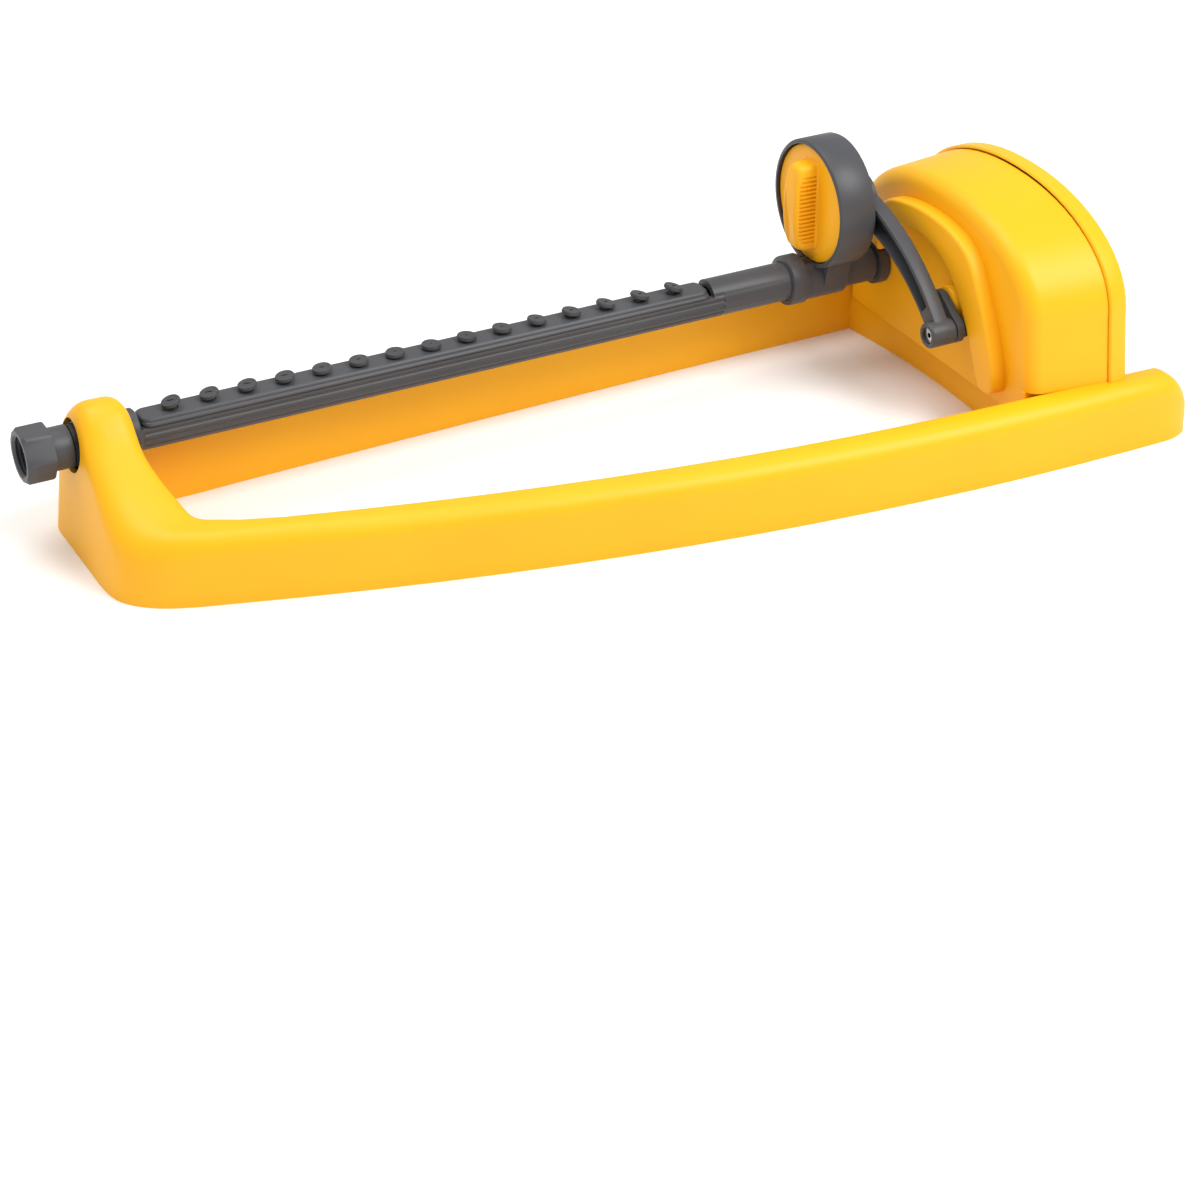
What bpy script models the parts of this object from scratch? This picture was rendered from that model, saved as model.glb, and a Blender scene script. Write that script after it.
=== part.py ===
"""Oscillating lawn sprinkler: a moulded sled frame, a spray bar with fifteen jets, and a water motor
that rocks the bar through a crank and a link.  Metres, +Z up.  The bar runs along X, with the hose
inlet at -X.  The origin is under the middle of the frame, on the ground."""
import bpy
import bmesh
import math
from mathutils import Matrix, Vector

for old in list(bpy.data.objects):
    bpy.data.objects.remove(old, do_unlink=True)

MM = 0.001
FIT = 0.3            # gap between faces that touch
RUN = 0.5            # running gap around pieces that turn
SEG = 24             # sides of a round piece

# ---- driving dimensions, in millimetres
# hose nut and inlet
THREAD_MINOR = 18.6  # female half-inch pipe thread, over its crests
NUT_LENGTH = 14.5
NUT_FLATS = 24.2
NECK_R = 10.4
NECK_LENGTH = 9.5
NUT_REACH = 19.3     # open end of the nut to the outer face of the post
PIPE_NECK_R = 7.4    # where the nut turns on the pipe, behind the pipe's head
PIPE_BORE = 5.5
SOCKET_DEPTH = 8.5   # of the spray bar over the inlet pipe
HEAD_THICK = 2.0     # flange at the pipe's outer end, which holds the nut on
SEAL_W = 2.4

# spray bar and jets
JETS = 15
JET_PITCH = 19.0
BAR_R = 10.0         # smooth round part of the bar
BAR_BORE = 6.5
BAR_Z = 51.5         # height of the bar's axis
SOCKET_WALL = 1.9
SEAT_Z = 4.0         # the bar's top is cut flat here for the jet strip
BAR_TO_POST = 30.0   # start of the bar behind the outer face of the post
COLLAR = 7.5         # ring at the start of the bar
FIRST_JET = 19.5     # from that ring
STRIP_TAIL = 19.0    # of the strip past its last jet
PLAIN_TUBE = 60.0    # from the strip to the dial's ring
JET_R = 4.9
JET_HEIGHT = 2.6
STEM_R = 2.2
JET_BORE = 0.6
STEM_BORE = 1.1
FAN = 18.0           # tilt of the end jets, degrees

# frame
FRAME_HALF = 101.5   # half the width over the runners
RUNNER_WIDTH = 20.0
RUNNER_HEIGHT = 34.0
FRAME_WALL = 2.6
POST_DEPTH = 33.0
BAR_INSET = 46.0     # bar's axis from the outer side of the rear runner
DECK_Z = 19.5        # top of the deck that carries the motor
NOSE_REACH = 47.3    # tips of the runners past the housing
BOW_R = {-1: 1396.0, 1: 11000.0}    # bow of the front runner and of the rear one

# motor housing and cover
MOTOR_DEPTH = 43.0
MOTOR_INSET = 25.5   # housing's side from the outer side of a runner
MOTOR_ARCH = 51.0    # rise of the arch
MOTOR_WALL = 3.0
MOTOR_FLARE = 5.32   # the sides open towards the cover
MOTOR_RISE = 2.0     # and the crown rises
SIDE_LEAN = 8.0      # the sides spread from the spring of the arch down to the runners
PLINTH_GAP = 2.0     # between the housing's foot and the runners
RIB_HEIGHT = 8.0     # raised rib on the front wall
COVER_THICK = 10.0
COVER_LIP = 2.0
COVER_RIM = 6.0      # width of the cover's rim, which the gasket seals
COVER_PLATE = 3.5
GASKET_THICK = 1.5
SHANK_R = 1.5        # cover screws
HEAD_R = 3.4
WELL_DEPTH = 1.9
PILLAR_R = 4.0
DECK_SHANK_R = 1.9   # screws from below the deck
DECK_HEAD_R = 4.0
DECK_HEAD = 2.2

# range dial
DIAL_R = 29.5
RING_WALL = 3.9
RING_DEPTH = 20.4
DIAL_SET_BACK = 2.6
DIAL_THICK = 6.0
GRIP_REACH = 14.6
GRIP_W = 7.3
GRIP_INSET = 6.0     # from the dial's rim
HUB_R = 4.0
HUB_FLANGE = 3.0
SCREW_R = 1.8
PIN_R = 2.2
PIN_BACK = 8.0       # of the dial's pin from the dial axis, at rest: towards the crank
PIN_UP = 1.5
DIAL_SWING = 60.0    # turn of the dial either way, degrees

# link, crank and drive
CRANK_FORWARD = 74.2    # output shaft in front of the bar's axis
CRANK_UP = 7.1          # and above it
CRANK_R = 15.5       # throw
LINK_GAP = 0.8       # between the dial's ring and the link
LINK_THICK = 8.0
LINK_BOW = 9.0
BOSS_FRONT = 3.7     # the link's foot stands out in front of the arm
BOSS_BACK = 2.5      # and behind it
BOSS_OUT = 6.6
LINK_PIN_R = 4.0
CRANK_WEB = 4.2
CRANK_TO_MOTOR = 12.8
SHAFT_R = 3.0
SHAFT_SEAL_R = 6.2
BOSS_R = 9.5         # boss round the output shaft
BOSS_REACH = 8.0
SCREW_HEAD = 4.4
HEAD_DEEP = 2.0
MODULE = 1.2         # gears
BIG = 36
SMALL = 12
FACE = 5.0
AXLE_R = 1.6
TURBINE_R = 13.0
TURBINE_W = 7.0

# filter knob
KNOB_R = 20.0
KNOB_THICK = 10.0
KNOB_NECK = 9.0
KNOB_UP = 4.0        # above the spring of the arch
KNOB_RIBS = 22

# ---- places along the bar: one chain of lengths, centred on the origin
ROW = (JETS - 1) * JET_PITCH
LINK_TO_CRANK = LINK_THICK + BOSS_BACK + RUN
LENGTH = (NUT_REACH + BAR_TO_POST + COLLAR + FIRST_JET + ROW + STRIP_TAIL + PLAIN_TUBE + RING_DEPTH
          + LINK_GAP + LINK_TO_CRANK + CRANK_TO_MOTOR + MOTOR_DEPTH + NOSE_REACH)
INLET_X = -LENGTH / 2
POST_X = INLET_X + NUT_REACH
BAR_START = POST_X + BAR_TO_POST
COLLAR_END = BAR_START + COLLAR
ROW_X = COLLAR_END + FIRST_JET + ROW / 2    # middle jet
STRIP_X1 = ROW_X + ROW / 2 + STRIP_TAIL
RING_FRONT = STRIP_X1 + PLAIN_TUBE
RING_BACK = RING_FRONT + RING_DEPTH
LINK_X = RING_BACK + LINK_GAP
LINK_BOSS = (LINK_X - BOSS_FRONT, LINK_X + LINK_THICK + BOSS_BACK)
CRANK_X = LINK_BOSS[1] + RUN
MOTOR_X = CRANK_X + CRANK_TO_MOTOR
MOTOR_BACK = MOTOR_X + MOTOR_DEPTH
FRAME_END_X = MOTOR_BACK + NOSE_REACH

# ---- places across the bar and up
BAR_Y = FRAME_HALF - BAR_INSET
POST_TOP = BAR_Z + BAR_R + 10.5
POST_HOLE_R = BAR_R + 3.0
SOCKET_R = BAR_R - 0.8
MOTOR_HALF = FRAME_HALF - MOTOR_INSET
MOTOR_SPRING = BAR_Z + 10.5
MOTOR_TOP = MOTOR_SPRING + MOTOR_ARCH
RING_R = DIAL_R + RING_WALL
DIAL_Z = BAR_Z + BAR_R + RUN + DIAL_R
CRANK_Y = BAR_Y - CRANK_FORWARD
CRANK_Z = BAR_Z + CRANK_UP
KNOB_Z = MOTOR_SPRING + KNOB_UP


# ---- materials
def finish(name, rgb, rough, metal=0.0):
    mat = bpy.data.materials.new(name)
    mat.use_nodes = True
    node = mat.node_tree.nodes["Principled BSDF"]
    node.inputs["Base Color"].default_value = (*rgb, 1.0)
    node.inputs["Roughness"].default_value = rough
    node.inputs["Metallic"].default_value = metal
    return mat


YELLOW = finish("yellow_plastic", (0.93, 0.52, 0.02), 0.42)
GREY = finish("grey_plastic", (0.085, 0.085, 0.095), 0.48)
BLACK = finish("seal_rubber", (0.015, 0.015, 0.015), 0.7)
STEEL = finish("bright_steel", (0.55, 0.55, 0.56), 0.3, 1.0)
WHITE = finish("gear_plastic", (0.75, 0.74, 0.70), 0.45)


# ---- making and placing pieces
def add(name, bm, mat, pivot=(0.0, 0.0, 0.0)):
    """Finish a mesh drawn in millimetres and place its object's origin at the pivot."""
    bmesh.ops.remove_doubles(bm, verts=bm.verts, dist=1e-4)
    bmesh.ops.recalc_face_normals(bm, faces=bm.faces)
    bmesh.ops.translate(bm, verts=bm.verts, vec=-Vector(pivot))
    bmesh.ops.scale(bm, verts=bm.verts, vec=(MM, MM, MM))
    mesh = bpy.data.meshes.new(name)
    bm.to_mesh(mesh)
    bm.free()
    mesh.shade_smooth()
    mesh.set_sharp_from_angle(angle=math.radians(35))
    mesh.materials.append(mat)
    obj = bpy.data.objects.new(name, mesh)
    obj.location = Vector(pivot) * MM
    bpy.context.scene.collection.objects.link(obj)
    return obj


def cut(obj, tool, operation="DIFFERENCE"):
    """Boolean a piece with a guide, which is hidden."""
    tool.hide_render = True
    tool.display_type = "WIRE"
    mod = obj.modifiers.new(tool.name, "BOOLEAN")
    mod.operation = operation
    mod.solver = "EXACT"
    mod.object = tool
    return obj


def turned(profile, y, z, seg=SEG):
    """Spin a closed outline of (x, radius) points about an axis along X through (y, z)."""
    bm = bmesh.new()
    verts = [bm.verts.new((x, y, z + r)) for x, r in profile]
    edges = [bm.edges.new((verts[i - 1], verts[i])) for i in range(len(verts))]
    bmesh.ops.spin(bm, geom=verts + edges, cent=(0.0, y, z), axis=(1.0, 0.0, 0.0),
                   angle=math.tau, steps=seg, use_duplicate=False)
    bmesh.ops.remove_doubles(bm, verts=bm.verts, dist=1e-4)
    lone = [e for e in bm.edges if not e.link_faces]
    bmesh.ops.delete(bm, geom=lone, context="EDGES")
    flat = [f for f in bm.faces if f.calc_area() < 1e-9]
    bmesh.ops.delete(bm, geom=flat, context="FACES_ONLY")
    return bm


def tube(x0, x1, outer, inner, y, z, seg=SEG):
    return turned([(x0, inner), (x0, outer), (x1, outer), (x1, inner)], y, z, seg)


def rod(x0, x1, radius, y, z, seg=SEG):
    return turned([(x0, 0.0), (x0, radius), (x1, radius), (x1, 0.0)], y, z, seg)


def lofted(loops):
    """Skin a row of loops that have the same number of points, and close both ends."""
    bm = bmesh.new()
    rows = [[bm.verts.new(p) for p in loop] for loop in loops]
    count = len(rows[0])
    for low, high in zip(rows, rows[1:]):
        for i in range(count):
            bm.faces.new((low[i - 1], low[i], high[i], high[i - 1]))
    bm.faces.new(rows[0])
    bm.faces.new(list(reversed(rows[-1])))
    return bm


def slab(outline, x0, x1):
    """Extrude an outline of (y, z) points from x0 to x1."""
    return lofted([[(x, y, z) for y, z in outline] for x in (x0, x1)])


def box(x0, x1, y0, y1, z0, z1):
    return slab([(y0, z0), (y1, z0), (y1, z1), (y0, z1)], x0, x1)


def arc(cy, cz, radius, start, end, count):
    """Points on an arc, in degrees from +Y towards +Z."""
    turns = [math.radians(start + (end - start) * i / count) for i in range(count + 1)]
    return [(cy + radius * math.cos(t), cz + radius * math.sin(t)) for t in turns]


def join_bm(first, second):
    """Put a second body in the same mesh."""
    mesh = bpy.data.meshes.new("part")
    second.to_mesh(mesh)
    second.free()
    first.from_mesh(mesh)
    bpy.data.meshes.remove(mesh)
    return first


# ---- sled frame: two runners, the inlet post and the motor deck, one moulding open underneath
POST_BACK_Y = FRAME_HALF - 5.0


def runner_section(shrink, size):
    """Half-open outline across a runner: u is the distance from its outer side, v the height."""
    width = RUNNER_WIDTH - 2 * shrink
    height = RUNNER_HEIGHT - shrink
    radius = max(8.0 - shrink, 1.0)
    foot = -4.0 if shrink else 0.0
    pts = [(shrink, foot), (shrink + 0.6, height - radius)]
    pts += [(shrink + 0.6 + radius - radius * math.cos(a), height - radius + radius * math.sin(a))
            for a in (math.radians(d) for d in (22, 45, 68, 90))]
    pts += [(shrink + width - radius + radius * math.sin(a), height - radius + radius * math.cos(a))
            for a in (math.radians(d) for d in (0, 30, 60, 90))]
    pts += [(shrink + width, foot)]
    middle = RUNNER_WIDTH / 2
    return [(middle + (u - middle) * size, v * size if v > 0 else v) for u, v in pts]


def outer_side(x, side):
    """Distance of a runner's outer side from the middle: an arc that bows out to the full half width."""
    reach = min(x, MOTOR_BACK) - MOTOR_BACK
    radius = BOW_R[side]
    return FRAME_HALF - radius + math.sqrt(radius ** 2 - reach ** 2)


def runner(side, shrink):
    """Loft a runner from inside the post to its rounded nose; side is -1 in front and 1 behind."""
    start = POST_X + 20.0 + shrink
    shoulder = start + 26.0
    straight = FRAME_END_X - RUNNER_WIDTH / 2
    steps = 12
    stations = [(start, 0.66), (start + 13.0, 0.88)]
    stations += [(shoulder + (straight - shoulder) * i / steps, 1.0) for i in range(steps + 1)]
    for a in (35, 60, 78):
        turn = math.radians(a)
        stations.append((straight + (RUNNER_WIDTH / 2 - shrink) * math.sin(turn), math.cos(turn)))
    loops = []
    for x, size in stations:
        far = outer_side(x, side)
        loops.append([(x, side * (far - u), v) for u, v in runner_section(shrink, size)])
    return lofted(loops)


def post_level(shrink, z, x0, x1, front, back):
    """Rounded plan outline of the post at one height."""
    x0, x1, front, back = x0 + shrink, x1 - shrink, front + shrink, back - shrink
    radius = min(12.0, (x1 - x0) * 0.42, (back - front) * 0.42)
    loop = []
    corners = ((x1, back, 0), (x0, back, 90), (x0, front, 180), (x1, front, 270))
    for cx, cy, base in corners:
        ox = cx - math.copysign(radius, cx - (x0 + x1) / 2)
        oy = cy - math.copysign(radius, cy - (front + back) / 2)
        for d in (0, 30, 60, 90):
            a = math.radians(base + d)
            loop.append((ox + radius * math.cos(a), oy + radius * math.sin(a), z))
    return loop


def post(shrink):
    """Saddle-shaped post round the bar: broad at the ground, narrow over the bar."""
    back_x = POST_X + POST_DEPTH
    rows = [
        (0.0, POST_X, back_x + 12.0, BAR_Y - 84.0, POST_BACK_Y),
        (20.0, POST_X + 2.0, back_x + 9.0, BAR_Y - 79.0, POST_BACK_Y - 9.0),
        (RUNNER_HEIGHT - 5.0, POST_X + 3.0, back_x + 4.0, BAR_Y - 70.0, POST_BACK_Y - 14.0),
        (RUNNER_HEIGHT + 5.0, POST_X + 4.0, back_x + 1.5, BAR_Y - 57.0, BAR_Y + 24.0),
        (BAR_Z, POST_X + 5.0, back_x - 0.5, BAR_Y - 39.0, BAR_Y + 19.0),
        (POST_TOP - 10.0, POST_X + 6.5, back_x - 1.5, BAR_Y - 24.0, BAR_Y + 15.5),
        (POST_TOP - 4.0, POST_X + 8.5, back_x - 3.5, BAR_Y - 16.0, BAR_Y + 11.0),
        (POST_TOP, POST_X + 13.0, back_x - 8.0, BAR_Y - 8.0, BAR_Y + 5.0),
    ]
    if shrink:
        rows = [(-4.0,) + rows[0][1:]] + [r for r in rows if r[0] < BAR_Z - 20.0]
        rows[-1] = (rows[-1][0] - shrink,) + rows[-1][1:]
    return lofted([post_level(shrink, *row) for row in rows])


DECK_X = MOTOR_X - 0.5    # inner edge of the deck


def deck(shrink):
    """Bridge between the runners: its inner wall is hollowed in plan, its top carries the motor."""
    half = FRAME_HALF - RUNNER_WIDTH + 4.0
    low, high = (-4.0, DECK_Z - shrink) if shrink else (0.0, DECK_Z)
    count = 8
    near = []
    for i in range(count + 1):
        y = -half + 2 * half * i / count
        near.append((DECK_X + shrink + 7.0 * (1 - (y / half) ** 2), y))
    far = MOTOR_BACK + 14.0 - shrink
    outline = near + [(far, half), (far, -half)]
    return lofted([[(x, y, z) for x, y in outline] for z in (low, high)])


frame = add("sled_frame", runner(-1, 0.0), YELLOW)
for tag, shape in (("runner", runner(1, 0.0)), ("post", post(0.0)), ("deck", deck(0.0))):
    cut(frame, add("frame_" + tag, shape, YELLOW), "UNION")
hollows = (
    ("front", runner(-1, FRAME_WALL)), ("rear", runner(1, FRAME_WALL)),
    ("foot", post(FRAME_WALL)), ("under", deck(FRAME_WALL)),
    ("hole", rod(POST_X - 10.0, POST_X + POST_DEPTH + 12.0, POST_HOLE_R, BAR_Y, BAR_Z)),
)
for tag, shape in hollows:
    cut(frame, add("hollow_" + tag, shape, YELLOW))

# ---- hose end: bush, fixed inlet pipe with its seal, and the nut that swivels on it
NUT_END = INLET_X + NUT_LENGTH
NECK_END = NUT_END + NECK_LENGTH
GROOVE_X = NECK_END + FIT
FLANGE_X = GROOVE_X + 3.0
BUSH_OUT = POST_HOLE_R - FIT
PIPE_R = SOCKET_R - RUN

corner = NUT_FLATS / math.sqrt(3)
hexagon = [(BAR_Y + corner * math.cos(math.radians(a)), BAR_Z + corner * math.sin(math.radians(a)))
           for a in range(0, 360, 60)]
nut_obj = add("hose_nut", slab(hexagon, INLET_X, NUT_END), GREY, (INLET_X, BAR_Y, BAR_Z))
cut(nut_obj, add("nut_neck", rod(NUT_END - 1.0, NECK_END, NECK_R, BAR_Y, BAR_Z), GREY), "UNION")
NUT_BORE_END = NUT_END - 1.5
nut_bore = [(INLET_X - 1.0, 0.0), (INLET_X - 1.0, THREAD_MINOR / 2 + 1.2), (INLET_X + 1.2, THREAD_MINOR / 2),
            (NUT_BORE_END, THREAD_MINOR / 2), (NUT_BORE_END, PIPE_NECK_R + RUN),
            (NECK_END + 1.0, PIPE_NECK_R + RUN), (NECK_END + 1.0, 0.0)]
cut(nut_obj, add("nut_bore", turned(nut_bore, BAR_Y, BAR_Z), GREY))

HEAD_X = NUT_BORE_END - FIT - HEAD_THICK
pipe = [(HEAD_X, PIPE_BORE), (HEAD_X, THREAD_MINOR / 2 - FIT), (HEAD_X + HEAD_THICK, THREAD_MINOR / 2 - FIT),
        (HEAD_X + HEAD_THICK, PIPE_NECK_R), (FLANGE_X, PIPE_NECK_R), (FLANGE_X, BUSH_OUT - 1.6),
        (FLANGE_X + 4.5, BUSH_OUT - 0.4), (BAR_START - RUN, BUSH_OUT - 0.4), (BAR_START - RUN, PIPE_R),
        (BAR_START + SOCKET_DEPTH - 1.0, PIPE_R), (BAR_START + SOCKET_DEPTH - 1.0, PIPE_BORE)]
RING_GROOVE = BAR_START + 2.5
for x, r in ((RING_GROOVE, PIPE_R), (RING_GROOVE, PIPE_R - 1.6), (RING_GROOVE + SEAL_W + FIT, PIPE_R - 1.6),
             (RING_GROOVE + SEAL_W + FIT, PIPE_R)):
    pipe.insert(len(pipe) - 2, (x, r))
add("inlet_pipe", turned(pipe, BAR_Y, BAR_Z), GREY)
add("bar_seal", tube(RING_GROOVE + FIT / 2, RING_GROOVE + FIT / 2 + SEAL_W, SOCKET_R - 0.15, PIPE_R - 1.3,
                     BAR_Y, BAR_Z), BLACK)
add("nut_seal", tube(NECK_END + FIT, FLANGE_X - FIT, NECK_R - 0.2, PIPE_NECK_R + FIT, BAR_Y, BAR_Z), BLACK)
WASHER_THICK = 2.5
add("hose_washer", tube(HEAD_X - FIT - WASHER_THICK, HEAD_X - FIT, THREAD_MINOR / 2 - FIT, PIPE_BORE,
                        BAR_Y, BAR_Z), BLACK)

# ---- spray bar: a tube whose top is cut flat for the jet strip
STRIP_X0 = COLLAR_END + 1.5
BAR_END = MOTOR_X + MOTOR_WALL + 9.0
JOURNAL_X = BAR_END - 20.0
JOURNAL_R = BAR_R - 1.6
bar_profile = [(BAR_START, SOCKET_R), (BAR_START, SOCKET_R + SOCKET_WALL), (COLLAR_END, SOCKET_R + SOCKET_WALL),
               (COLLAR_END, BAR_R), (JOURNAL_X, BAR_R), (JOURNAL_X, JOURNAL_R),
               (BAR_END, JOURNAL_R), (BAR_END, BAR_BORE),
               (BAR_START + SOCKET_DEPTH, BAR_BORE), (BAR_START + SOCKET_DEPTH, SOCKET_R)]
bar = add("spray_tube", turned(bar_profile, BAR_Y, BAR_Z), GREY, (ROW_X, BAR_Y, BAR_Z))
clear = BAR_R + 4.0
seat = box(STRIP_X0 - FIT, STRIP_X1 + FIT, BAR_Y - clear, BAR_Y + clear, BAR_Z + SEAT_Z, BAR_Z + clear)
cut(bar, add("strip_seat", seat, GREY))

FLAT_Z = BAR_R - 2.4
strip_base = SEAT_Z + FIT
strip_side = [(BAR_R - 0.8, strip_base), (BAR_R - 0.8, strip_base + 1.0),
              (BAR_R - 1.8, BAR_R - 3.6), (BAR_R - 3.4, FLAT_Z)]
strip_outline = [(-y, z) for y, z in strip_side] + list(reversed(strip_side))
strip = add("jet_strip", slab([(BAR_Y + y, BAR_Z + z) for y, z in strip_outline], STRIP_X0, STRIP_X1),
            GREY, (ROW_X, BAR_Y, BAR_Z))

# ---- jets: soft studs pressed through the strip, fanned outwards along the bar
STEM = FLAT_Z - strip_base + 1.3
jet_profile = [(0.55, STEM_R), (0.55, JET_R), (JET_HEIGHT - 0.4, JET_R), (JET_HEIGHT, JET_R - 0.6),
               (JET_HEIGHT, JET_BORE), (-STEM, STEM_BORE), (-STEM, STEM_R)]
for i in range(JETS):
    off = i - (JETS - 1) / 2
    x = ROW_X + off * JET_PITCH
    lean = math.radians(FAN * off / ((JETS - 1) / 2))
    here = Vector((x, BAR_Y, BAR_Z + FLAT_Z))
    stud = turned(jet_profile, 0.0, 0.0, 10)
    upright = Matrix.Rotation(-math.pi / 2, 4, "Y")
    place = Matrix.Translation(here + Vector((0, 0, 0.9 + abs(math.sin(lean)) * JET_R))) \
        @ Matrix.Rotation(lean, 4, "Y") @ upright
    bmesh.ops.transform(stud, matrix=place, verts=stud.verts)
    add("jet_%02d" % (i + 1), stud, GREY, tuple(here))
    hole = rod(-STEM - 4.4, STEM + 4.4, STEM_R + FIT, 0.0, 0.0, 12)
    bmesh.ops.transform(hole, matrix=place, verts=hole.verts)
    holes = join_bm(holes, hole) if i else hole
cut(strip, add("jet_holes", holes, GREY))

# ---- dial housing: a collar on the bar with the dial's ring above it
COLLAR_X0 = RING_FRONT - 13.5
COLLAR_X1 = RING_BACK - 1.4
COLLAR_R = BAR_R + 3.0
carrier = add("dial_housing", rod(RING_FRONT, RING_BACK, RING_R, BAR_Y, DIAL_Z, 48), GREY,
              (ROW_X, BAR_Y, BAR_Z))
cut(carrier, add("collar_body", rod(COLLAR_X0, COLLAR_X1, COLLAR_R, BAR_Y, BAR_Z), GREY), "UNION")
gusset_side = ((COLLAR_R + 2.5, COLLAR_R + 1.0), (COLLAR_R - 1.0, -3.0))
gusset = slab([(BAR_Y - y, BAR_Z + z) for y, z in gusset_side]
              + [(BAR_Y + y, BAR_Z + z) for y, z in reversed(gusset_side)], RING_FRONT + 6.0, COLLAR_X1 - 0.2)
cut(carrier, add("collar_gusset", gusset, GREY), "UNION")
DIAL_X = RING_FRONT + DIAL_SET_BACK
DIAL_BACK = DIAL_X + DIAL_THICK
pocket = [(RING_FRONT - 5.0, 0.0), (RING_FRONT - 5.0, DIAL_R + RUN), (DIAL_BACK + RUN, DIAL_R + RUN),
          (DIAL_BACK + RUN, 0.0)]
cut(carrier, add("dial_pocket", turned(pocket, BAR_Y, DIAL_Z, 48), GREY))
cut(carrier, add("collar_bore", rod(COLLAR_X0 - 5.0, RING_BACK + 5.0, BAR_R + FIT, BAR_Y, BAR_Z), GREY))
PIN_THROW = math.hypot(PIN_BACK, PIN_UP)
HUB_FLANGE_R = PIN_THROW + PIN_R + 1.2
hub_hole = [(DIAL_BACK, 0.0), (DIAL_BACK, HUB_R + RUN), (RING_BACK - HUB_FLANGE - RUN, HUB_R + RUN),
            (RING_BACK - HUB_FLANGE - RUN, HUB_FLANGE_R + RUN), (RING_BACK + 5.0, HUB_FLANGE_R + RUN),
            (RING_BACK + 5.0, 0.0)]
cut(carrier, add("hub_hole", turned(hub_hole, BAR_Y, DIAL_Z), GREY))

# ---- range dial with its finger grip, held by a screw; the hub carries the eccentric pin
dial_axis = (DIAL_X, BAR_Y, DIAL_Z)
dial = add("range_dial", rod(DIAL_X, DIAL_BACK, DIAL_R, BAR_Y, DIAL_Z, 48), YELLOW, dial_axis)
GRIP_HALF = DIAL_R - GRIP_INSET
grip_loops = []
for step, (reach, tall, wide) in enumerate(((0.5, 1.0, 1.0), (-GRIP_REACH + 5.0, 0.985, 0.97),
                                            (-GRIP_REACH + 1.2, 0.95, 0.9), (-GRIP_REACH, 0.9, 0.72))):
    loop = []
    for a in range(0, 360, 20):
        t = math.radians(a + 10)
        y = math.copysign(abs(math.cos(t)) ** 0.35, math.cos(t)) * GRIP_W * wide
        z = math.copysign(abs(math.sin(t)) ** 0.45, math.sin(t)) * GRIP_HALF * tall
        sag = 3.5 * (z / GRIP_HALF) ** 2 if step > 1 else 0.0
        loop.append((DIAL_X + reach + sag, BAR_Y + y, DIAL_Z + z))
    grip_loops.append(loop)
cut(dial, add("grip", lofted(grip_loops), YELLOW), "UNION")
cut(dial, add("hub_screw_hole", rod(DIAL_BACK - 4.0, DIAL_BACK + 5.0, SCREW_R + FIT, BAR_Y, DIAL_Z, 16),
              YELLOW))

PIN_END = LINK_X + LINK_THICK + 2.0
PIN_Y = BAR_Y - PIN_BACK
PIN_Z = DIAL_Z + PIN_UP
hub_profile = [(DIAL_BACK + FIT, 0.0), (DIAL_BACK + FIT, HUB_R), (RING_BACK - HUB_FLANGE, HUB_R),
               (RING_BACK - HUB_FLANGE, HUB_FLANGE_R), (RING_BACK - FIT, HUB_FLANGE_R), (RING_BACK - FIT, 0.0)]
hub = add("dial_hub", turned(hub_profile, BAR_Y, DIAL_Z), GREY, dial_axis)
cut(hub, add("dial_pin", rod(RING_BACK - 1.0, PIN_END, PIN_R, PIN_Y, PIN_Z, 20), GREY), "UNION")
cut(hub, add("hub_bore", rod(DIAL_BACK - 1.0, DIAL_BACK + 8.0, SCREW_R + FIT, BAR_Y, DIAL_Z, 16), GREY))
add("dial_screw", rod(DIAL_BACK - 3.4, DIAL_BACK + 7.0, SCREW_R, BAR_Y, DIAL_Z, 16), STEEL, dial_axis)

# ---- link: a curved channel arm between the eccentric pin and the crank
crank = Vector((CRANK_Y, CRANK_Z))
upper = Vector((PIN_Y, PIN_Z))
lower = crank + (crank - upper).normalized() * CRANK_R
EYE_BORE = PIN_R + 2 * PIN_THROW * math.sin(math.radians(DIAL_SWING / 2)) + RUN
EYE_R = EYE_BORE + 3.0
ARM_HALF = (7.5, 5.0)    # half width of the arm at the dial and at the crank
span = lower - upper
normal = Vector((span.y, -span.x)).normalized()
if normal.y < 0:
    normal = -normal
edge_a = []
edge_b = []
ARM_STEPS = 10
for i in range(ARM_STEPS + 1):
    t = i / ARM_STEPS
    mid = upper + span * t + normal * (4 * LINK_BOW * t * (1 - t))
    ahead = (span + normal * (4 * LINK_BOW * (1 - 2 * t))).normalized()
    across = Vector((ahead.y, -ahead.x))
    half = ARM_HALF[0] + (ARM_HALF[1] - ARM_HALF[0]) * t
    edge_a.append(tuple(mid + across * half))
    edge_b.append(tuple(mid - across * half))
arm_outline = edge_a + list(reversed(edge_b))
link_pivot = (LINK_X, PIN_Y, PIN_Z)
link = add("link_arm", slab(arm_outline, LINK_X, LINK_X + LINK_THICK), GREY, link_pivot)
cut(link, add("link_eye", rod(LINK_X + 1.0, LINK_X + LINK_THICK - 1.0, EYE_R, PIN_Y, PIN_Z), GREY), "UNION")
cut(link, add("link_boss", rod(LINK_BOSS[0], LINK_BOSS[1], BOSS_OUT, lower.x, lower.y), GREY), "UNION")
FLANGE_SHARE = 0.28     # of the arm's width, beside its channel
channel_a = [tuple(Vector(a).lerp(Vector(b), FLANGE_SHARE)) for a, b in zip(edge_a[2:-1], edge_b[2:-1])]
channel_b = [tuple(Vector(b).lerp(Vector(a), FLANGE_SHARE)) for a, b in zip(edge_a[2:-1], edge_b[2:-1])]
channel = slab(channel_a + list(reversed(channel_b)), LINK_X - 2.0, LINK_X + LINK_THICK - 3.0)
cut(link, add("link_channel", channel, GREY))
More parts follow.
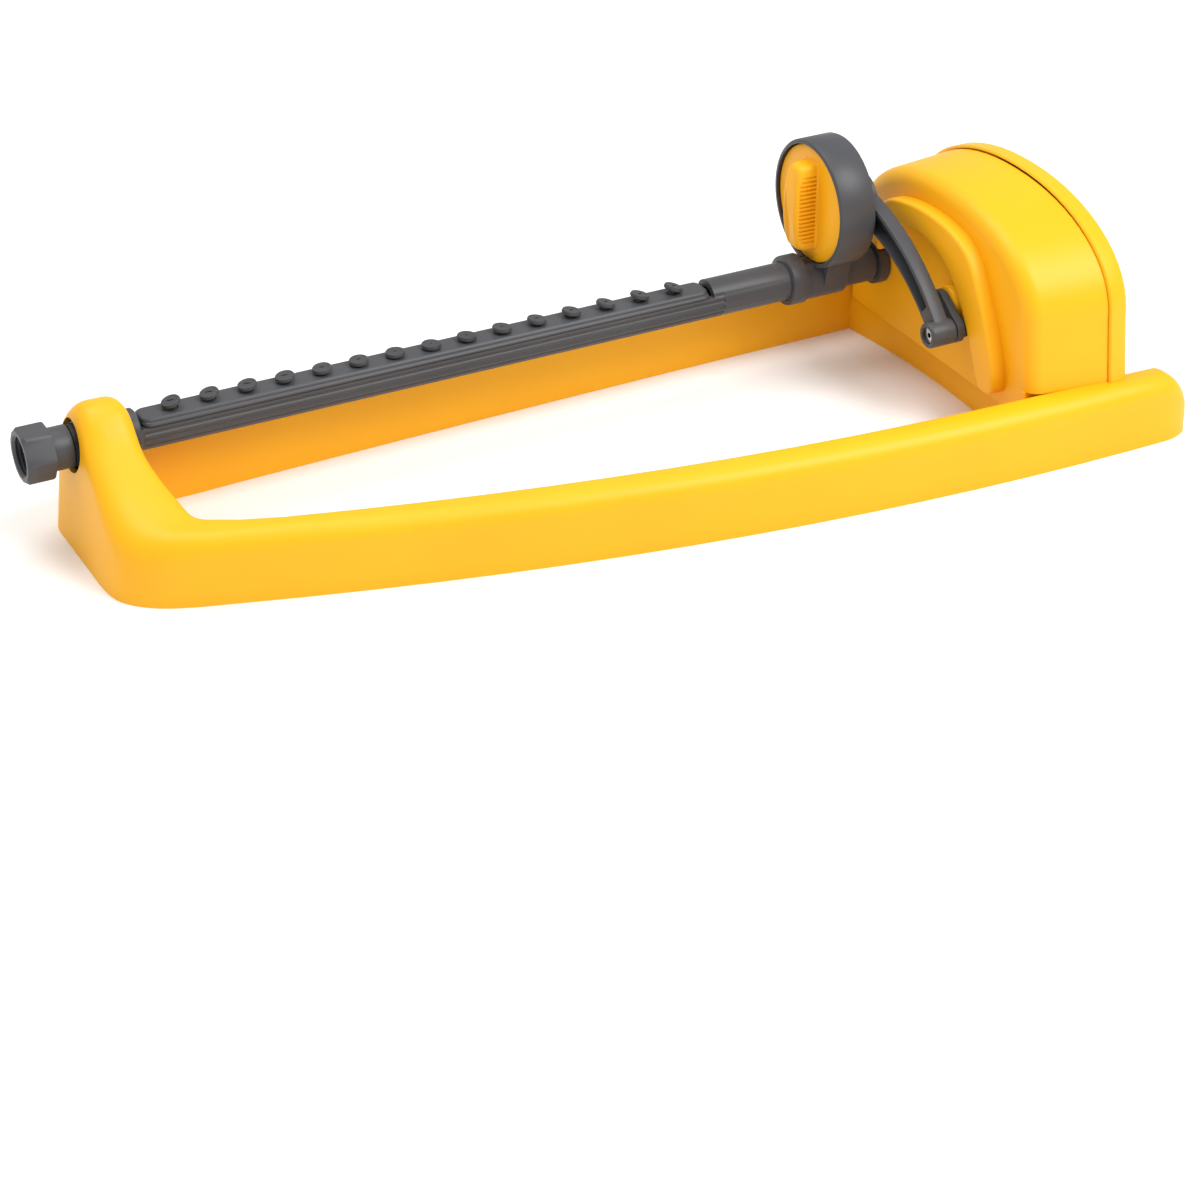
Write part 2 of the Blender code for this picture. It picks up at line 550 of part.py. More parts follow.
boss_bore = rod(LINK_BOSS[0] - 3.0, LINK_BOSS[1] + 3.0, LINK_PIN_R + FIT, lower.x, lower.y)
cut(link, add("boss_bore", boss_bore, GREY))
cut(link, add("eye_bore", rod(LINK_X - 3.0, LINK_X + LINK_THICK + 3.0, EYE_BORE, PIN_Y, PIN_Z, 26), GREY))
link_pin = tube(LINK_BOSS[0] + 1.5, LINK_BOSS[1], LINK_PIN_R, 1.4, lower.x, lower.y, 20)
add("link_pin", link_pin, STEEL, link_pivot)

# ---- crank on the output shaft: a web with a boss for the link pin
crank_axis = (CRANK_X, CRANK_Y, CRANK_Z)
along = (lower - crank).normalized()
turn = math.degrees(math.atan2(along.y, along.x))
CRANK_HUB_R = 8.4
web = arc(crank.x, crank.y, CRANK_HUB_R, turn + 97, turn + 263, 8)
web += arc(lower.x, lower.y, BOSS_OUT, turn - 83, turn + 83, 8)
crank_obj = add("crank", slab(web, CRANK_X, CRANK_X + CRANK_WEB), GREY, crank_axis)
STUB_R = CRANK_R - BOSS_R - 1.0
crank_stub = rod(CRANK_X + 1.0, MOTOR_X - 3.0, STUB_R, lower.x, lower.y, 20)
cut(crank_obj, add("crank_stub", crank_stub, GREY), "UNION")
head_seat = CRANK_X + HEAD_DEEP + FIT
crank_bore = [(CRANK_X - 3.0, 0.0), (CRANK_X - 3.0, SCREW_HEAD + FIT), (head_seat, SCREW_HEAD + FIT),
              (head_seat, SHAFT_R + FIT), (CRANK_X + 12.0, SHAFT_R + FIT), (CRANK_X + 12.0, 0.0)]
cut(crank_obj, add("crank_bore", turned(crank_bore, CRANK_Y, CRANK_Z, 20), GREY))
add("crank_screw", rod(CRANK_X, CRANK_X + HEAD_DEEP, SCREW_HEAD, CRANK_Y, CRANK_Z, 20), STEEL, crank_axis)


# ---- motor housing: an arched shell, open at the back, standing on the deck between the runners
def arch(half, top, low, low_half, shelf, count=14):
    """Outline of the housing: a plinth between the runners, leaning sides, and a half ellipse."""
    side = [(low_half, low), (low_half, shelf), (half + SIDE_LEAN, shelf)]
    turns = [math.pi * i / count for i in range(count + 1)]
    crown = [(half * math.cos(a), MOTOR_SPRING + (top - MOTOR_SPRING) * math.sin(a)) for a in turns]
    return side + crown + [(-y, z) for y, z in reversed(side)]


PLINTH_HALF = FRAME_HALF - RUNNER_WIDTH - PLINTH_GAP
MOTOR_BASE = DECK_Z + FIT
MOTOR_SHELF = RUNNER_HEIGHT + RUN


def shell_loops(shrink, x0, x1):
    loops = []
    for x in (x0, x1):
        share = max(0.0, (x - MOTOR_X) / MOTOR_DEPTH)
        outline = arch(MOTOR_HALF + MOTOR_FLARE * share - shrink, MOTOR_TOP + MOTOR_RISE * share - shrink,
                       MOTOR_BASE + shrink, PLINTH_HALF - shrink, MOTOR_SHELF + shrink)
        loops.append([(x, y, z) for y, z in outline])
    return loops


outer = shell_loops(0.0, MOTOR_X + 4.0, MOTOR_BACK)
nose = [(MOTOR_X, p[1] * 0.955, MOTOR_BASE + (p[2] - MOTOR_BASE) * 0.97) for p in outer[0]]
housing = add("motor_housing", lofted([nose] + outer), YELLOW)
hollow = lofted(shell_loops(MOTOR_WALL, MOTOR_X + MOTOR_WALL, MOTOR_BACK + 5.0))
cut(housing, add("housing_hollow", hollow, YELLOW))
shaft_boss = rod(MOTOR_X - BOSS_REACH, MOTOR_X + MOTOR_WALL + 5.0, BOSS_R, CRANK_Y, CRANK_Z)
cut(housing, add("shaft_boss", shaft_boss, YELLOW), "UNION")
cut(housing, add("bar_boss", rod(MOTOR_X + 1.0, BAR_END + 3.0, BAR_R + 2.5, BAR_Y, BAR_Z), YELLOW), "UNION")
END_BUSH_R = BAR_R + 0.6
BUSH_HEAD_R = BAR_R + 2.0
cut(housing, add("bar_hole", rod(MOTOR_X - 5.0, BAR_END + FIT, END_BUSH_R + FIT, BAR_Y, BAR_Z), YELLOW))
cut(housing, add("water_hole", rod(BAR_END - 1.0, BAR_END + 9.0, 5.0, BAR_Y, BAR_Z, 20), YELLOW))
shaft_hole = rod(MOTOR_X - BOSS_REACH - 4.0, MOTOR_BACK, SHAFT_R + RUN, CRANK_Y, CRANK_Z, 20)
cut(housing, add("shaft_hole", shaft_hole, YELLOW))
seal_pocket = rod(MOTOR_X - 2.0, MOTOR_BACK, SHAFT_SEAL_R + FIT, CRANK_Y, CRANK_Z, 20)
cut(housing, add("seal_pocket", seal_pocket, YELLOW))
RIB_HALF = MOTOR_HALF - 18.0
RIB_FOOT = MOTOR_BASE + 10.2
RIB_MIDDLE = MOTOR_SPRING - 16.0
RIB_RISE = MOTOR_TOP - 13.0 - RIB_MIDDLE
rib_out = [(-RIB_HALF - 8.0, RIB_FOOT)]
for turn in (math.radians(d) for d in range(170, 20, -12)):
    wide = RIB_HALF * (1.0 if math.cos(turn) > 0 else 1.1)
    rib_out.append((wide * math.cos(turn), RIB_MIDDLE + RIB_RISE * math.sin(turn)))
rib_in = [(y * 0.82, RIB_FOOT + (z - RIB_FOOT) * 0.86) for y, z in reversed(rib_out)]
rib = slab(rib_out + rib_in, MOTOR_X - RIB_HEIGHT, MOTOR_X + 1.5)
cut(housing, add("front_rib", rib, YELLOW), "UNION")

bush = [(MOTOR_X - 6.0, JOURNAL_R + RUN), (MOTOR_X - 6.0, BUSH_HEAD_R), (MOTOR_X - RUN, BUSH_HEAD_R),
        (MOTOR_X - RUN, END_BUSH_R), (MOTOR_X + 5.0, END_BUSH_R), (MOTOR_X + 5.0, JOURNAL_R + RUN)]
add("end_bush", turned(bush, BAR_Y, BAR_Z), GREY)
add("end_seal", tube(MOTOR_X + 5.6, MOTOR_X + 8.0, END_BUSH_R - 0.1, JOURNAL_R + FIT, BAR_Y, BAR_Z), BLACK)

# ---- drive inside the housing: turbine, two step-down gears, output gear and shaft
SHAFT_END = MOTOR_X + 26.0
add("output_shaft", rod(head_seat, SHAFT_END, SHAFT_R, CRANK_Y, CRANK_Z, 20), STEEL, crank_axis)
add("shaft_seal", tube(MOTOR_X - 1.5, MOTOR_X + 3.0, SHAFT_SEAL_R, SHAFT_R + FIT, CRANK_Y, CRANK_Z, 20), BLACK)


REACH = MODULE * (BIG + SMALL) / 2 + 0.4    # between two axles
TO_FIRST = math.radians(190.0)
TO_SECOND = math.radians(70.0)
TOOTH = 0.5          # what faces the mate: the middle of a tooth
GAP = 0.0            # or of a gap


def gear(name, axis, teeth, x0, bore, towards, meets):
    """Spur gear on an axis along X, with a tooth or a gap in the middle of the side towards its mate."""
    y, z = axis
    root = MODULE * (teeth / 2 - 1.2)
    tip = MODULE * (teeth / 2 + 0.8)
    outline = []
    for i in range(teeth):
        for share, radius in ((-0.2, root), (0.2, root), (0.39, tip), (0.61, tip)):
            a = towards + math.tau * (i + share - meets) / teeth
            outline.append((y + radius * math.cos(a), z + radius * math.sin(a)))
    wheel = add(name, slab(outline, x0, x0 + FACE), WHITE, (x0, y, z))
    return cut(wheel, add(name + "_bore", rod(x0 - 2.0, x0 + FACE + 2.0, bore, y, z, 16), WHITE))


GEAR_1 = (CRANK_Y + REACH * math.cos(TO_FIRST), CRANK_Z + REACH * math.sin(TO_FIRST))
GEAR_2 = (GEAR_1[0] + REACH * math.cos(TO_SECOND), GEAR_1[1] + REACH * math.sin(TO_SECOND))
PLANE_1 = MOTOR_X + 15.0
PLANE_2 = PLANE_1 + 6.0
gear("output_gear", (CRANK_Y, CRANK_Z), BIG, PLANE_1, SHAFT_R + FIT, TO_FIRST, TOOTH)
gear("reduction_pinion", GEAR_1, SMALL, PLANE_1, AXLE_R + FIT, TO_FIRST + math.pi, GAP)
gear("reduction_gear", GEAR_1, BIG, PLANE_2, AXLE_R + FIT, TO_SECOND, TOOTH)
gear("turbine_pinion", GEAR_2, SMALL, PLANE_2, AXLE_R + FIT, TO_SECOND + math.pi, GAP)
add("reduction_axle", rod(PLANE_1 - 3.0, PLANE_2 + FACE + 1.0, AXLE_R, *GEAR_1, 16), STEEL, (PLANE_1, *GEAR_1))
TURBINE_X = PLANE_2 + FACE + 1.0
TURBINE_HUB = 6.0
blades = 10
vane = []
for i in range(blades):
    for share, radius in ((0.0, TURBINE_HUB), (0.42, TURBINE_HUB), (0.62, TURBINE_R), (0.80, TURBINE_R)):
        a = math.tau * (i + share) / blades
        vane.append((GEAR_2[0] + radius * math.cos(a), GEAR_2[1] + radius * math.sin(a)))
turbine = add("turbine_wheel", slab(vane, TURBINE_X, TURBINE_X + TURBINE_W), WHITE, (TURBINE_X, *GEAR_2))
turbine_bore = rod(TURBINE_X - 2.0, TURBINE_X + TURBINE_W + 5.0, AXLE_R + FIT, *GEAR_2, 16)
cut(turbine, add("turbine_bore", turbine_bore, WHITE))
turbine_axle = rod(PLANE_2 - 3.0, TURBINE_X + TURBINE_W + 1.5, AXLE_R, *GEAR_2, 16)
add("turbine_axle", turbine_axle, STEEL, (TURBINE_X, *GEAR_2))

# ---- gear plate: stands behind the front wall and carries the axles
PLATE_FOOT = MOTOR_BASE + 6.2
plate_outline = [(-37.3, PLATE_FOOT - CRANK_Z), (32.7, PLATE_FOOT - CRANK_Z), (32.7, 37.4), (-21.3, 37.4),
                 (-37.3, 21.4)]
plate = slab([(CRANK_Y + y, CRANK_Z + z) for y, z in plate_outline], PLANE_1 - 5.0, PLANE_1 - 2.5)
plate_obj = add("gear_plate", plate, GREY)
for tag, (y, z), radius in (("a", (CRANK_Y, CRANK_Z), SHAFT_R), ("b", GEAR_1, AXLE_R), ("c", GEAR_2, AXLE_R)):
    cut(plate_obj, add("plate_hole_" + tag, rod(PLANE_1 - 8.0, PLANE_1, radius + FIT, y, z, 16), GREY))

# ---- cover, gasket and screws
COVER_X = MOTOR_BACK + GASKET_THICK + 2 * FIT
cover_base = arch(MOTOR_HALF + MOTOR_FLARE + COVER_LIP, MOTOR_TOP + MOTOR_RISE + COVER_LIP,
                  MOTOR_BASE, PLINTH_HALF, MOTOR_SHELF)
cover_loops = []
for x, share in ((COVER_X, 1.0), (COVER_X + COVER_THICK - 2.0, 0.992), (COVER_X + COVER_THICK, 0.955)):
    cover_loops.append([(x, y * share, MOTOR_BASE + (z - MOTOR_BASE) * share) for y, z in cover_base])
cover = add("motor_cover", lofted(cover_loops), YELLOW)
rim_hole = arch(MOTOR_HALF + MOTOR_FLARE - COVER_RIM, MOTOR_TOP + MOTOR_RISE - COVER_RIM,
                MOTOR_BASE + COVER_RIM, PLINTH_HALF - COVER_RIM, MOTOR_SHELF + COVER_RIM)
cut(cover, add("cover_hollow", slab(rim_hole, COVER_X - 2.0, COVER_X + COVER_THICK - COVER_PLATE), YELLOW))
rim_out = arch(MOTOR_HALF + MOTOR_FLARE - FIT, MOTOR_TOP + MOTOR_RISE - FIT, MOTOR_BASE + FIT,
               PLINTH_HALF - FIT, MOTOR_SHELF + FIT)
gasket = add("cover_gasket", slab(rim_out, MOTOR_BACK + FIT, MOTOR_BACK + FIT + GASKET_THICK), BLACK)
cut(gasket, add("gasket_opening", slab(rim_hole, MOTOR_BACK - 2.0, MOTOR_BACK + 5.0), BLACK))

LOW_SCREWS = (MOTOR_HALF - 10.0, MOTOR_BASE + 12.2)
HIGH_SCREWS = (MOTOR_HALF - 18.0, MOTOR_SPRING + 22.0)
SCREW_PLACES = [(side * y, z) for y, z in (LOW_SCREWS, HIGH_SCREWS) for side in (-1, 1)]
COVER_BACK = COVER_X + COVER_THICK
PILLAR_END = COVER_BACK - COVER_PLATE - FIT
SCREW_TIP = PILLAR_END - 9.0
seat = COVER_BACK - WELL_DEPTH
for i, (y, z) in enumerate(SCREW_PLACES):
    tag = "_%d" % (i + 1)
    cut(housing, add("pillar" + tag, rod(MOTOR_X + 1.0, PILLAR_END, PILLAR_R, y, z, 16), YELLOW), "UNION")
    well = [(SCREW_TIP - FIT, 0.0), (SCREW_TIP - FIT, SHANK_R + FIT), (seat, SHANK_R + FIT),
            (seat, HEAD_R + FIT), (COVER_BACK + 5.0, HEAD_R + FIT), (COVER_BACK + 5.0, 0.0)]
    cut(cover, add("screw_well" + tag, turned(well, y, z, 16), YELLOW))
    cut(housing, add("pillar_hole" + tag, rod(SCREW_TIP - FIT, COVER_BACK, SHANK_R + FIT, y, z, 12), YELLOW))
    screw = [(SCREW_TIP, 0.0), (SCREW_TIP, SHANK_R), (seat + FIT, SHANK_R), (seat + FIT, HEAD_R),
             (COVER_BACK - 0.2, HEAD_R), (COVER_BACK, HEAD_R - 0.8), (COVER_BACK, 0.0)]
    add("cover_screw" + tag, turned(screw, y, z, 16), STEEL)

# ---- filter knob in the back of the cover, with its seal and strainer
cut(cover, add("knob_hole", rod(COVER_X - 3.0, COVER_BACK + 5.0, KNOB_NECK + RUN, 0.0, KNOB_Z), YELLOW))
knob_x = COVER_BACK + 1.6 + 2 * FIT
outline = []
for i in range(KNOB_RIBS):
    for share, radius in ((0.0, KNOB_R), (0.5, KNOB_R), (0.55, KNOB_R - 0.8), (0.95, KNOB_R - 0.8)):
        a = math.tau * (i + share) / KNOB_RIBS
        outline.append((radius * math.cos(a), KNOB_Z + radius * math.sin(a)))
knob = add("filter_knob", slab(outline, knob_x, knob_x + KNOB_THICK), GREY, (knob_x, 0.0, KNOB_Z))
cut(knob, add("knob_neck", rod(COVER_X + 1.0, knob_x + 0.5, KNOB_NECK, 0.0, KNOB_Z), GREY), "UNION")
STRAINER_R = 6.0
cut(knob, add("strainer_pocket", rod(COVER_X - 2.0, COVER_X + 6.0, STRAINER_R + 0.4, 0.0, KNOB_Z), GREY))
knob_seal = tube(COVER_BACK + FIT, COVER_BACK + FIT + 1.4, KNOB_R - 4.0, KNOB_NECK + FIT, 0.0, KNOB_Z)
add("knob_seal", knob_seal, BLACK, (knob_x, 0.0, KNOB_Z))
strainer = tube(COVER_X - 3.0, COVER_X + 5.5, STRAINER_R, STRAINER_R - 1.4, 0.0, KNOB_Z)
add("filter_strainer", strainer, WHITE, (knob_x, 0.0, KNOB_Z))

# ---- two screws that hold the motor to the deck from below
def standing(profile, x, y, z):
    """Turn a profile of (height, radius) about an upright axis."""
    bm = turned(profile, 0.0, 0.0, 16)
    upright = Matrix.Translation((x, y, z)) @ Matrix.Rotation(-math.pi / 2, 4, "Y")
    bmesh.ops.transform(bm, verts=bm.verts, matrix=upright)
    return bm


DECK_SCREW_X = MOTOR_X + 22.0
DECK_SCREW_Y = 48.0
SCREW_LENGTH = 9.0
WELL = 6.8
for i, y in enumerate((-DECK_SCREW_Y, DECK_SCREW_Y)):
    under = DECK_Z - FRAME_WALL
    shank = standing([(0.0, 0.0), (0.0, DECK_HEAD_R), (DECK_HEAD, DECK_HEAD_R), (DECK_HEAD, DECK_SHANK_R),
                      (SCREW_LENGTH, DECK_SHANK_R), (SCREW_LENGTH, 0.0)],
                     DECK_SCREW_X, y, under - FIT - DECK_HEAD)
    add("deck_screw_%d" % (i + 1), shank, STEEL)
    well = standing([(-2.0, 0.0), (-2.0, DECK_SHANK_R + FIT), (WELL, DECK_SHANK_R + FIT), (WELL, 0.0)],
                    DECK_SCREW_X, y, under + 0.2)
    tool = add("deck_screw_hole_%d" % (i + 1), well, YELLOW)
    cut(frame, tool)
    pillar = standing([(0.0, 0.0), (0.0, PILLAR_R + 1.0), (9.5, PILLAR_R + 1.0), (9.5, 0.0)],
                      DECK_SCREW_X, y, MOTOR_BASE + 0.5)
    cut(housing, add("deck_screw_pillar_%d" % (i + 1), pillar, YELLOW), "UNION")
    cut(housing, tool)
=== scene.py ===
import math
import bpy
import bmesh
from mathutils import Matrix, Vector


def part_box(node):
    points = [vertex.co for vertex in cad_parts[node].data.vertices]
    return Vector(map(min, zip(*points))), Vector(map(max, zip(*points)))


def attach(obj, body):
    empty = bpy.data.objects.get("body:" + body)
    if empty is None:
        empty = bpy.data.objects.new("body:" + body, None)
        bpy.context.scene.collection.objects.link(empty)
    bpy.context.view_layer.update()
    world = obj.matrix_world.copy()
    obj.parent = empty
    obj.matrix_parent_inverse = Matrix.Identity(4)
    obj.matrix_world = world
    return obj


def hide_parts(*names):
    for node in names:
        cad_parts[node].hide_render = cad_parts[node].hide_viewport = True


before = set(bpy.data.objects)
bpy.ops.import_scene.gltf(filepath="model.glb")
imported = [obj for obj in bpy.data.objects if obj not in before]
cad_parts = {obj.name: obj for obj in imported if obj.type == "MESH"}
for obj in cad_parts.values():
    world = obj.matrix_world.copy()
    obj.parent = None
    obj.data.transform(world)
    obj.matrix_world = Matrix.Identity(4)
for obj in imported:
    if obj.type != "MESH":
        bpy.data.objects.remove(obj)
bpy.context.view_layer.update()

# ---------------------------------------------------------------- studio
# A white sweep of paper under the sprinkler, one broad soft lamp from the front and right, a weaker
# one from the left, and a white room all round. The camera stands in front, to the left and above.
MM = 0.001


def deselect():
    if bpy.context.mode != "OBJECT":
        bpy.ops.object.mode_set(mode="OBJECT")
    bpy.ops.object.select_all(action="DESELECT")


deselect()
scene = bpy.context.scene
scene.view_settings.view_transform = "Standard"
bpy.ops.object.camera_add(location=(-0.6172, -1.1683, 0.7254),
                          rotation=(math.radians(90 - 31.171), 0, math.radians(-27.644)))
camera = bpy.context.object
camera.data.lens = 91.88
camera.data.sensor_width = 36.0
scene.camera = camera

room = bpy.data.worlds.new("white_room")
room.use_nodes = True
room.node_tree.nodes["Background"].inputs["Color"].default_value = (1.0, 0.985, 0.97, 1.0)
room.node_tree.nodes["Background"].inputs["Strength"].default_value = 0.62
scene.world = room


def lamp(name, place, aim, size, watts, colour):
    bpy.ops.object.light_add(type="AREA", location=place)
    light = bpy.context.object
    light.name = name
    light.rotation_euler = (Vector(aim) - Vector(place)).to_track_quat("-Z", "Y").to_euler()
    light.data.shape = "DISK"
    light.data.size = size
    light.data.energy = watts
    light.data.color = colour


lamp("front_softbox", (0.75, -1.0, 1.5), (0.0, 0.0, 0.0), 1.2, 28.0, (1.0, 0.99, 0.97))
lamp("top_softbox", (-0.35, 0.35, 1.7), (0.0, 0.0, 0.0), 1.5, 17.0, (1.0, 1.0, 1.0))

bpy.ops.mesh.primitive_plane_add(size=60.0, location=(0, 0, 0))
floor = bpy.context.object
floor.name = "paper_sweep"
paper = bpy.data.materials.new("white_paper")
paper.use_nodes = True
paper.node_tree.nodes["Principled BSDF"].inputs["Base Color"].default_value = (0.93, 0.92, 0.915, 1.0)
paper.node_tree.nodes["Principled BSDF"].inputs["Roughness"].default_value = 0.9
floor.data.materials.append(paper)


# ---------------------------------------------------------------- sled frame
# One large moulding in yellow plastic, open underneath: two runners, the post that holds the bar at
# the hose end, and the deck for the motor. Its wall is 2.6 mm thick and every outer edge is rounded.
class Wire:
    """The output of one shader node; arithmetic on it adds Math nodes."""

    def __init__(self, recipe, output):
        self.recipe = recipe
        self.output = output

    def maths(self, operation, first, second):
        return self.recipe.node("ShaderNodeMath", {"operation": operation}, {0: first, 1: second})

    def __add__(self, other):
        return self.maths("ADD", self, other)

    def __mul__(self, other):
        return self.maths("MULTIPLY", self, other)

    def __rsub__(self, other):
        return self.maths("SUBTRACT", other, self)

    def __sub__(self, other):
        return self.maths("SUBTRACT", self, other)

    __radd__ = __add__
    __rmul__ = __mul__


class Recipe:
    """A material under way: a Principled shader and the nodes that feed it."""

    def __init__(self, name):
        self.material = bpy.data.materials.new(name)
        self.material.use_nodes = True
        self.tree = self.material.node_tree
        self.shader = self.tree.nodes["Principled BSDF"]

    def node(self, kind, settings=None, inputs=None, output=0):
        made = self.tree.nodes.new(kind)
        for key, value in (settings or {}).items():
            if key == "stops":
                for stop, (place, colour) in zip(made.color_ramp.elements, value):
                    stop.position = place
                    stop.color = (*colour, 1.0)
            else:
                setattr(made, key, value)
        for key, value in (inputs or {}).items():
            self.feed(made.inputs[key], value)
        return Wire(self, made.outputs[output])

    def feed(self, socket, value):
        if isinstance(value, Wire):
            self.tree.links.new(value.output, socket)
        else:
            socket.default_value = value


def moulded(name, light, dark, rough, grain):
    """Injection-moulded plastic: slight clouds in its colour and gloss, and a fine spark-eroded grain."""
    mix = Recipe(name)
    here = mix.node("ShaderNodeTexCoord", output=3)
    clouds = mix.node("ShaderNodeTexNoise", inputs={"Vector": here, "Scale": 14.0, "Detail": 3.0})
    specks = mix.node("ShaderNodeTexNoise", inputs={"Vector": here, "Scale": 900.0, "Detail": 2.0})
    colour = mix.node("ShaderNodeValToRGB", {"stops": ((0.3, dark), (0.7, light))}, {0: clouds})
    mix.feed(mix.shader.inputs["Base Color"], colour)
    mix.feed(mix.shader.inputs["Roughness"], rough - 0.06 + clouds * 0.08 + specks * 0.05)
    relief = mix.node("ShaderNodeBump", inputs={"Strength": grain, "Distance": 0.0002, "Height": specks})
    mix.feed(mix.shader.inputs["Normal"], relief)
    mix.shader.inputs["Specular IOR Level"].default_value = 0.32
    return mix.material


YELLOW = moulded("yellow_moulding", (0.93, 0.455, 0.005), (0.91, 0.43, 0.004), 0.42, 0.10)


def lofted(name, loops):
    """Extrude a filled ring from station to station; a loop is a list of (x, y, z) in millimetres."""
    deselect()
    bpy.ops.mesh.primitive_circle_add(vertices=len(loops[0]), radius=1.0, fill_type="NGON")
    piece = bpy.context.object
    piece.name = name
    bpy.ops.object.mode_set(mode="EDIT")
    for number, loop in enumerate(loops):
        if number:
            bpy.ops.mesh.extrude_region_move()
        shell = bmesh.from_edit_mesh(piece.data)
        face = next(f for f in shell.faces if f.select)
        for vert, point in zip(face.verts, loop):
            vert.co = Vector(point) * MM
        bmesh.update_edit_mesh(piece.data)
    bpy.ops.mesh.select_all(action="SELECT")
    bpy.ops.mesh.normals_make_consistent(inside=False)
    bpy.ops.object.mode_set(mode="OBJECT")
    return piece


def carve(piece, tool, how="DIFFERENCE"):
    """Cut a piece with a tool, or join the tool to it, and throw the tool away."""
    deselect()
    bpy.context.view_layer.objects.active = piece
    piece.select_set(True)
    step = piece.modifiers.new("carve", "BOOLEAN")
    step.operation = how
    step.solver = "EXACT"
    step.object = tool
    bpy.ops.object.modifier_apply(modifier=step.name)
    bpy.data.objects.remove(tool)
    return piece


def done(piece, material, body, slot, *nodes, angle=32.0):
    """Smooth the round faces, put the material on, and let the piece ride in place of its plain nodes."""
    deselect()
    bpy.context.view_layer.objects.active = piece
    piece.select_set(True)
    bpy.ops.object.shade_smooth_by_angle(angle=math.radians(angle))
    piece.data.materials.clear()
    piece.data.materials.append(material)
    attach(piece, body)
    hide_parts(*nodes)
    return piece


def through(rows, parts):
    """Smooth rows of numbers that run through the given rows (a Catmull-Rom curve)."""
    out = []
    for i in range(len(rows) - 1):
        a, b, c, d = (rows[max(i - 1, 0)], rows[i], rows[i + 1], rows[min(i + 2, len(rows) - 1)])
        for k in range(parts):
            t = k / parts
            out.append(tuple(0.5 * (2 * q + (r - p) * t + (2 * p - 5 * q + 4 * r - s) * t * t
                                    + (3 * q - p - 3 * r + s) * t ** 3)
                             for p, q, r, s in zip(a, b, c, d)))
    return out + [tuple(rows[-1])]


def rise(value):
    value = min(max(value, 0.0), 1.0)
    return value * value * (3 - 2 * value)


RUNNER_WIDE = 20.0
RUNNER_HIGH = 34.6
HALF_WIDE = 101.4
WIDEST_X = 231.0
BOW = {-1: 2792.0, 1: 22000.0}
NOSE_X = 258.0
NOSE_LONG = 20.0
FRAME_WALL = 2.6


def wall(row, inset=0.0, foot=0.0, size=1.0):
    """Section across the frame's wall, from its outer foot over the top to its inner foot."""
    outer_x, outer_y, inner_x, inner_y, top, out_round, in_round, lean, step = row
    outer = Vector((outer_x, outer_y))
    across = Vector((inner_x, inner_y)) - outer
    width = across.length
    across.normalize()
    top -= inset

    def left(z):
        return lean * z / 65 + inset

    def right(z):
        return width - step * rise((z - 26) / 22) - 0.02 * z - inset

    room = (right(top) - left(top)) / (out_round + in_round + 0.5)
    big = max(min(1.0, room) * out_round - inset, 0.8)
    small = max(min(1.0, room) * in_round - inset, 0.8)
    section = []
    for i in range(6):
        z = foot + (top - big - foot) * i / 6
        section.append((left(z), z))
    for i in range(8):
        a = math.pi / 2 * i / 7
        section.append((left(top - big) + big - big * math.cos(a), top - big + big * math.sin(a)))
    for i in range(7):
        a = math.pi / 2 * i / 6
        section.append((right(top - small) - small + small * math.sin(a), top - small + small * math.cos(a)))
    for i in range(1, 9):
        z = (top - small) + (foot - top + small) * i / 8
        section.append((right(z), z))
    middle = width / 2
    place = [outer + across * (middle + (u - middle) * size) for u, v in section]
    return [(p.x, p.y, v * size ** 0.8 if v > 0 else v) for p, (u, v) in zip(place, section)]


def runner_row(x, side, round_out=9.0):
    far = HALF_WIDE - min(x - WIDEST_X, 0.0) ** 2 / BOW[side]
    return (x, side * far, x, side * (far - RUNNER_WIDE), RUNNER_HIGH, round_out, 5.0, 2.0, 0.0)


rear_row = [runner_row(x, 1) for x in range(250, -171, -30)]
front_row = [runner_row(x, -1) for x in range(-180, 251, 30)]
corner = [
    (-190, 93.3, -188, 73.2, 34.6, 9, 5, 2, 0),
    (-217, 92.0, -203, 73.0, 35.2, 12, 6, 4, 0),
    (-238, 89.0, -209.5, 72.6, 37.5, 16, 7, 6, 1),
    (-250, 84.0, -214, 72.0, 43.0, 17, 8, 7, 4),
    (-256, 78.5, -216, 71.0, 51.0, 15, 8, 7, 7),
    (-258.5, 72.5, -217, 68.5, 59.5, 13, 8, 7, 8),
    (-259, 67.0, -217.5, 64.0, 66.5, 12, 8, 7, 8),
    (-259, 59.5, -217.5, 57.5, 71.0, 10, 8, 7, 8),
    (-259, 51.0, -217.5, 48.5, 72.0, 10, 8, 7, 8),
    (-259, 43.0, -217.5, 43.0, 69.0, 11, 8, 7, 8),
    (-259, 34.0, -217.5, 34.0, 60.0, 12, 8, 7, 8),
    (-259, 24.0, -217.5, 24.0, 52.3, 13, 8, 7, 7),
    (-259, 12.0, -217.5, 12.0, 44.0, 15, 8, 7, 6),
    (-258, 1.0, -217, 2.0, 38.6, 17, 7, 6, 3),
    (-255, -7.5, -215, -5.0, 36.0, 18, 6, 5, 1),
    (-248.5, -15.0, -210.5, -9.0, 35.0, 17, 6, 4, 0),
    (-239, -21.5, -204, -12.5, 34.8, 15, 5, 3, 0),
    (-225, -27.2, -196, -16.0, 34.6, 12, 5, 2.4, 0),
]
rows = rear_row + through(corner, 4) + front_row


